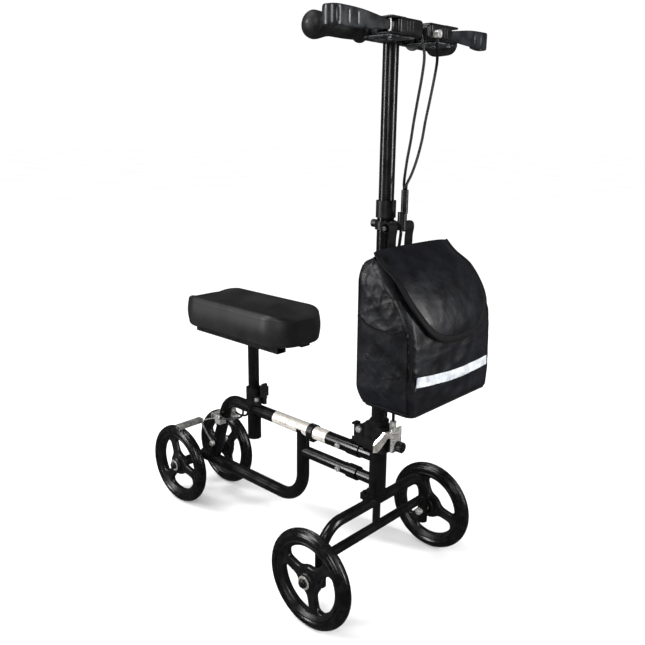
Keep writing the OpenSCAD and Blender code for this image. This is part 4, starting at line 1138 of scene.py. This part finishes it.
class SCOOTER_OT_cables(bpy.types.Operator):
    """Makes the brake cables, the bare wires behind their stops and the rear brake arms"""

    bl_idname = "scooter.cables"
    bl_label = "Cables"

    def execute(self, context):
        routes = [curve_through(r, 120) for r in (LEFT_ROUTE, RIGHT_ROUTE)]
        upper = build(
            "upper_cable_pair", [tube(r, 2.5, (0, 1, 0)) for r in routes], cable_sheath(), None,
            ["upper_cables"], sharp=180,
        )
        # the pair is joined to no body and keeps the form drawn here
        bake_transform(upper)
        lower = curve_through(LOWER_ROUTE, 120)
        build(
            "lower_cable_sheath", [tube(lower, 3.0)], cable_sheath(), "column",
            ["lower_cable"],
        )
        rear = tube(curve_through(REAR_ROUTE, 60), 2.5)
        build(
            "rear_cable_pair", [rear, mirrored(rear)], cable_sheath(), "frame",
            ["rear_cables"],
        )
        arm, wire = brake_arm()
        for side, sign in SIDES.items():
            parts = arm if sign > 0 else [mirrored(part) for part in arm]
            build(
                f"{side}_brake_channel", parts, brake_steel(), f"{side}_arm",
                [f"{side}_brake_arm"], sharp=40,
            )
        build("rear_brake_wires", [wire, mirrored(wire)], zinc_plate(), "frame", sharp=180)
        return {"FINISHED"}


# ---- stage ----
CAMERA_PLACE = (1.0753, -1.0429, 0.9126)
CAMERA_YAW, CAMERA_PITCH, CAMERA_ROLL = 133.15, 14.78, 0.54
CAMERA_LENS = 39.78


def camera_axes():
    """Right, up and back of the camera, from its yaw, its downward pitch and its roll."""
    yaw, pitch, roll = (math.radians(a) for a in (CAMERA_YAW, CAMERA_PITCH, CAMERA_ROLL))
    ahead = Vector((math.cos(pitch) * math.cos(yaw), math.cos(pitch) * math.sin(yaw), -math.sin(pitch)))
    right = ahead.cross(Vector((0, 0, 1))).normalized()
    up = right.cross(ahead)
    turned_right = math.cos(roll) * right + math.sin(roll) * up
    turned_up = -math.sin(roll) * right + math.cos(roll) * up
    return turned_right, turned_up, -ahead


def area_light(name, place_at, aim, size, power):
    """A rectangular light at a place, turned to a point."""
    data = bpy.data.lights.new(name, "AREA")
    data.shape, data.size, data.size_y, data.energy = "RECTANGLE", size[0], size[1], power
    lamp = bpy.data.objects.new(name, data)
    lamp.location = place_at
    lamp.rotation_euler = (Vector(aim) - Vector(place_at)).to_track_quat("-Z", "Y").to_euler()
    bpy.context.scene.collection.objects.link(lamp)
    return lamp


class SCOOTER_OT_stage(bpy.types.Operator):
    """Makes the floor, the lights, the surroundings and the camera"""

    bl_idname = "scooter.stage"
    bl_label = "Stage"

    def execute(self, context):
        stage, scene = context.scene.scooter_stage, context.scene
        mesh = bpy.data.meshes.new("studio_floor")
        reach = 40.0
        corners = [(-reach, -reach, 0), (reach, -reach, 0), (reach, reach, 0), (-reach, reach, 0)]
        mesh.from_pydata(corners, [], [(0, 1, 2, 3)])
        floor = bpy.data.objects.new("studio_floor", mesh)
        scene.collection.objects.link(floor)
        mesh.materials.append(floor_paint())
        floor.visible_glossy = False

        world = bpy.data.worlds.new("studio")
        world.use_nodes = True
        path = add(world, "ShaderNodeLightPath")
        # white behind the object, dimmer in its reflections
        seen = add(
            world, "ShaderNodeMapRange",
            {"Value": path.outputs["Is Camera Ray"], "To Min": stage.sky, "To Max": 1.02},
        )
        add(
            world, "ShaderNodeMix",
            {"Factor": path.outputs["Is Glossy Ray"], "A": seen.outputs["Result"], "B": stage.reflections},
            to=world.node_tree.nodes["Background"].inputs["Strength"],
        )
        world.node_tree.nodes["Background"].inputs["Color"].default_value = (1, 1, 1, 1)
        scene.world = world

        sun = bpy.data.lights.new("high_key", "SUN")
        sun.energy, sun.angle = stage.key, math.radians(24)
        lamp = bpy.data.objects.new("high_key", sun)
        lamp.rotation_euler = Vector((-0.5, -0.45, 1.0)).to_track_quat("Z", "Y").to_euler()
        scene.collection.objects.link(lamp)
        middle_height = (0, 0, 0.55)
        area_light("left_strip", (-1.5, -2.4, 1.3), middle_height, (0.35, 1.9), stage.strips)
        area_light("right_strip", (2.6, 0.9, 1.3), middle_height, (0.35, 1.9), stage.strips)
        area_light("front_strip", (1.6, -2.3, 1.7), middle_height, (0.3, 1.4), stage.strips * 0.5)

        data = bpy.data.cameras.new("view_camera")
        data.lens, data.sensor_width = CAMERA_LENS, 36.0
        data.clip_end = 200
        camera = bpy.data.objects.new("view_camera", data)
        right, up, back = camera_axes()
        turn = Matrix((right, up, back)).transposed()
        camera.matrix_world = Matrix.Translation(CAMERA_PLACE) @ turn.to_4x4()
        scene.collection.objects.link(camera)
        scene.camera = camera
        scene.view_settings.view_transform = "Standard"
        return {"FINISHED"}


class SCOOTER_OT_finishes(bpy.types.Operator):
    """Gives every CAD piece the finish of its slot"""

    bl_idname = "scooter.finishes"
    bl_label = "Finishes"

    def execute(self, context):
        for row in frame["record"]["subparts"]:
            material = NODE_FINISHES.get(row["node"], FINISHES[row["material_slot"]])()
            for holder in frame["nodes"][row["node"]].material_slots:
                holder.material = material
        return {"FINISHED"}


class SCOOTER_PT_panel(bpy.types.Panel):
    """Sidebar panel with every step"""

    bl_label = "Scooter"
    bl_idname = "SCOOTER_PT_panel"
    bl_space_type = "VIEW_3D"
    bl_region_type = "UI"
    bl_category = "Scooter"

    def draw(self, context):
        for operator in OPERATORS:
            self.layout.operator(operator.bl_idname)


SETTINGS = {
    "scooter_pad": ScooterPadSettings,
    "scooter_bag": ScooterBagSettings,
    "scooter_wheel": ScooterWheelSettings,
    "scooter_stage": ScooterStageSettings,
}
OPERATORS = (
    SCOOTER_OT_finishes, SCOOTER_OT_pad, SCOOTER_OT_bag, SCOOTER_OT_wheels, SCOOTER_OT_handlebar,
    SCOOTER_OT_cables, SCOOTER_OT_stage,
)


def register():
    for kind in (*SETTINGS.values(), *OPERATORS, SCOOTER_PT_panel):
        bpy.utils.register_class(kind)
    for name, kind in SETTINGS.items():
        setattr(bpy.types.Scene, name, PointerProperty(type=kind))


def unregister():
    for name in SETTINGS:
        delattr(bpy.types.Scene, name)
    for kind in (SCOOTER_PT_panel, *reversed(OPERATORS), *SETTINGS.values()):
        bpy.utils.unregister_class(kind)


def main():
    register()
    bpy.ops.scooter.finishes()
    bpy.ops.scooter.pad()
    bpy.ops.scooter.bag()
    bpy.ops.scooter.wheels()
    bpy.ops.scooter.handlebar()
    bpy.ops.scooter.cables()
    bpy.ops.scooter.stage()


if __name__ == "__main__":
    main()
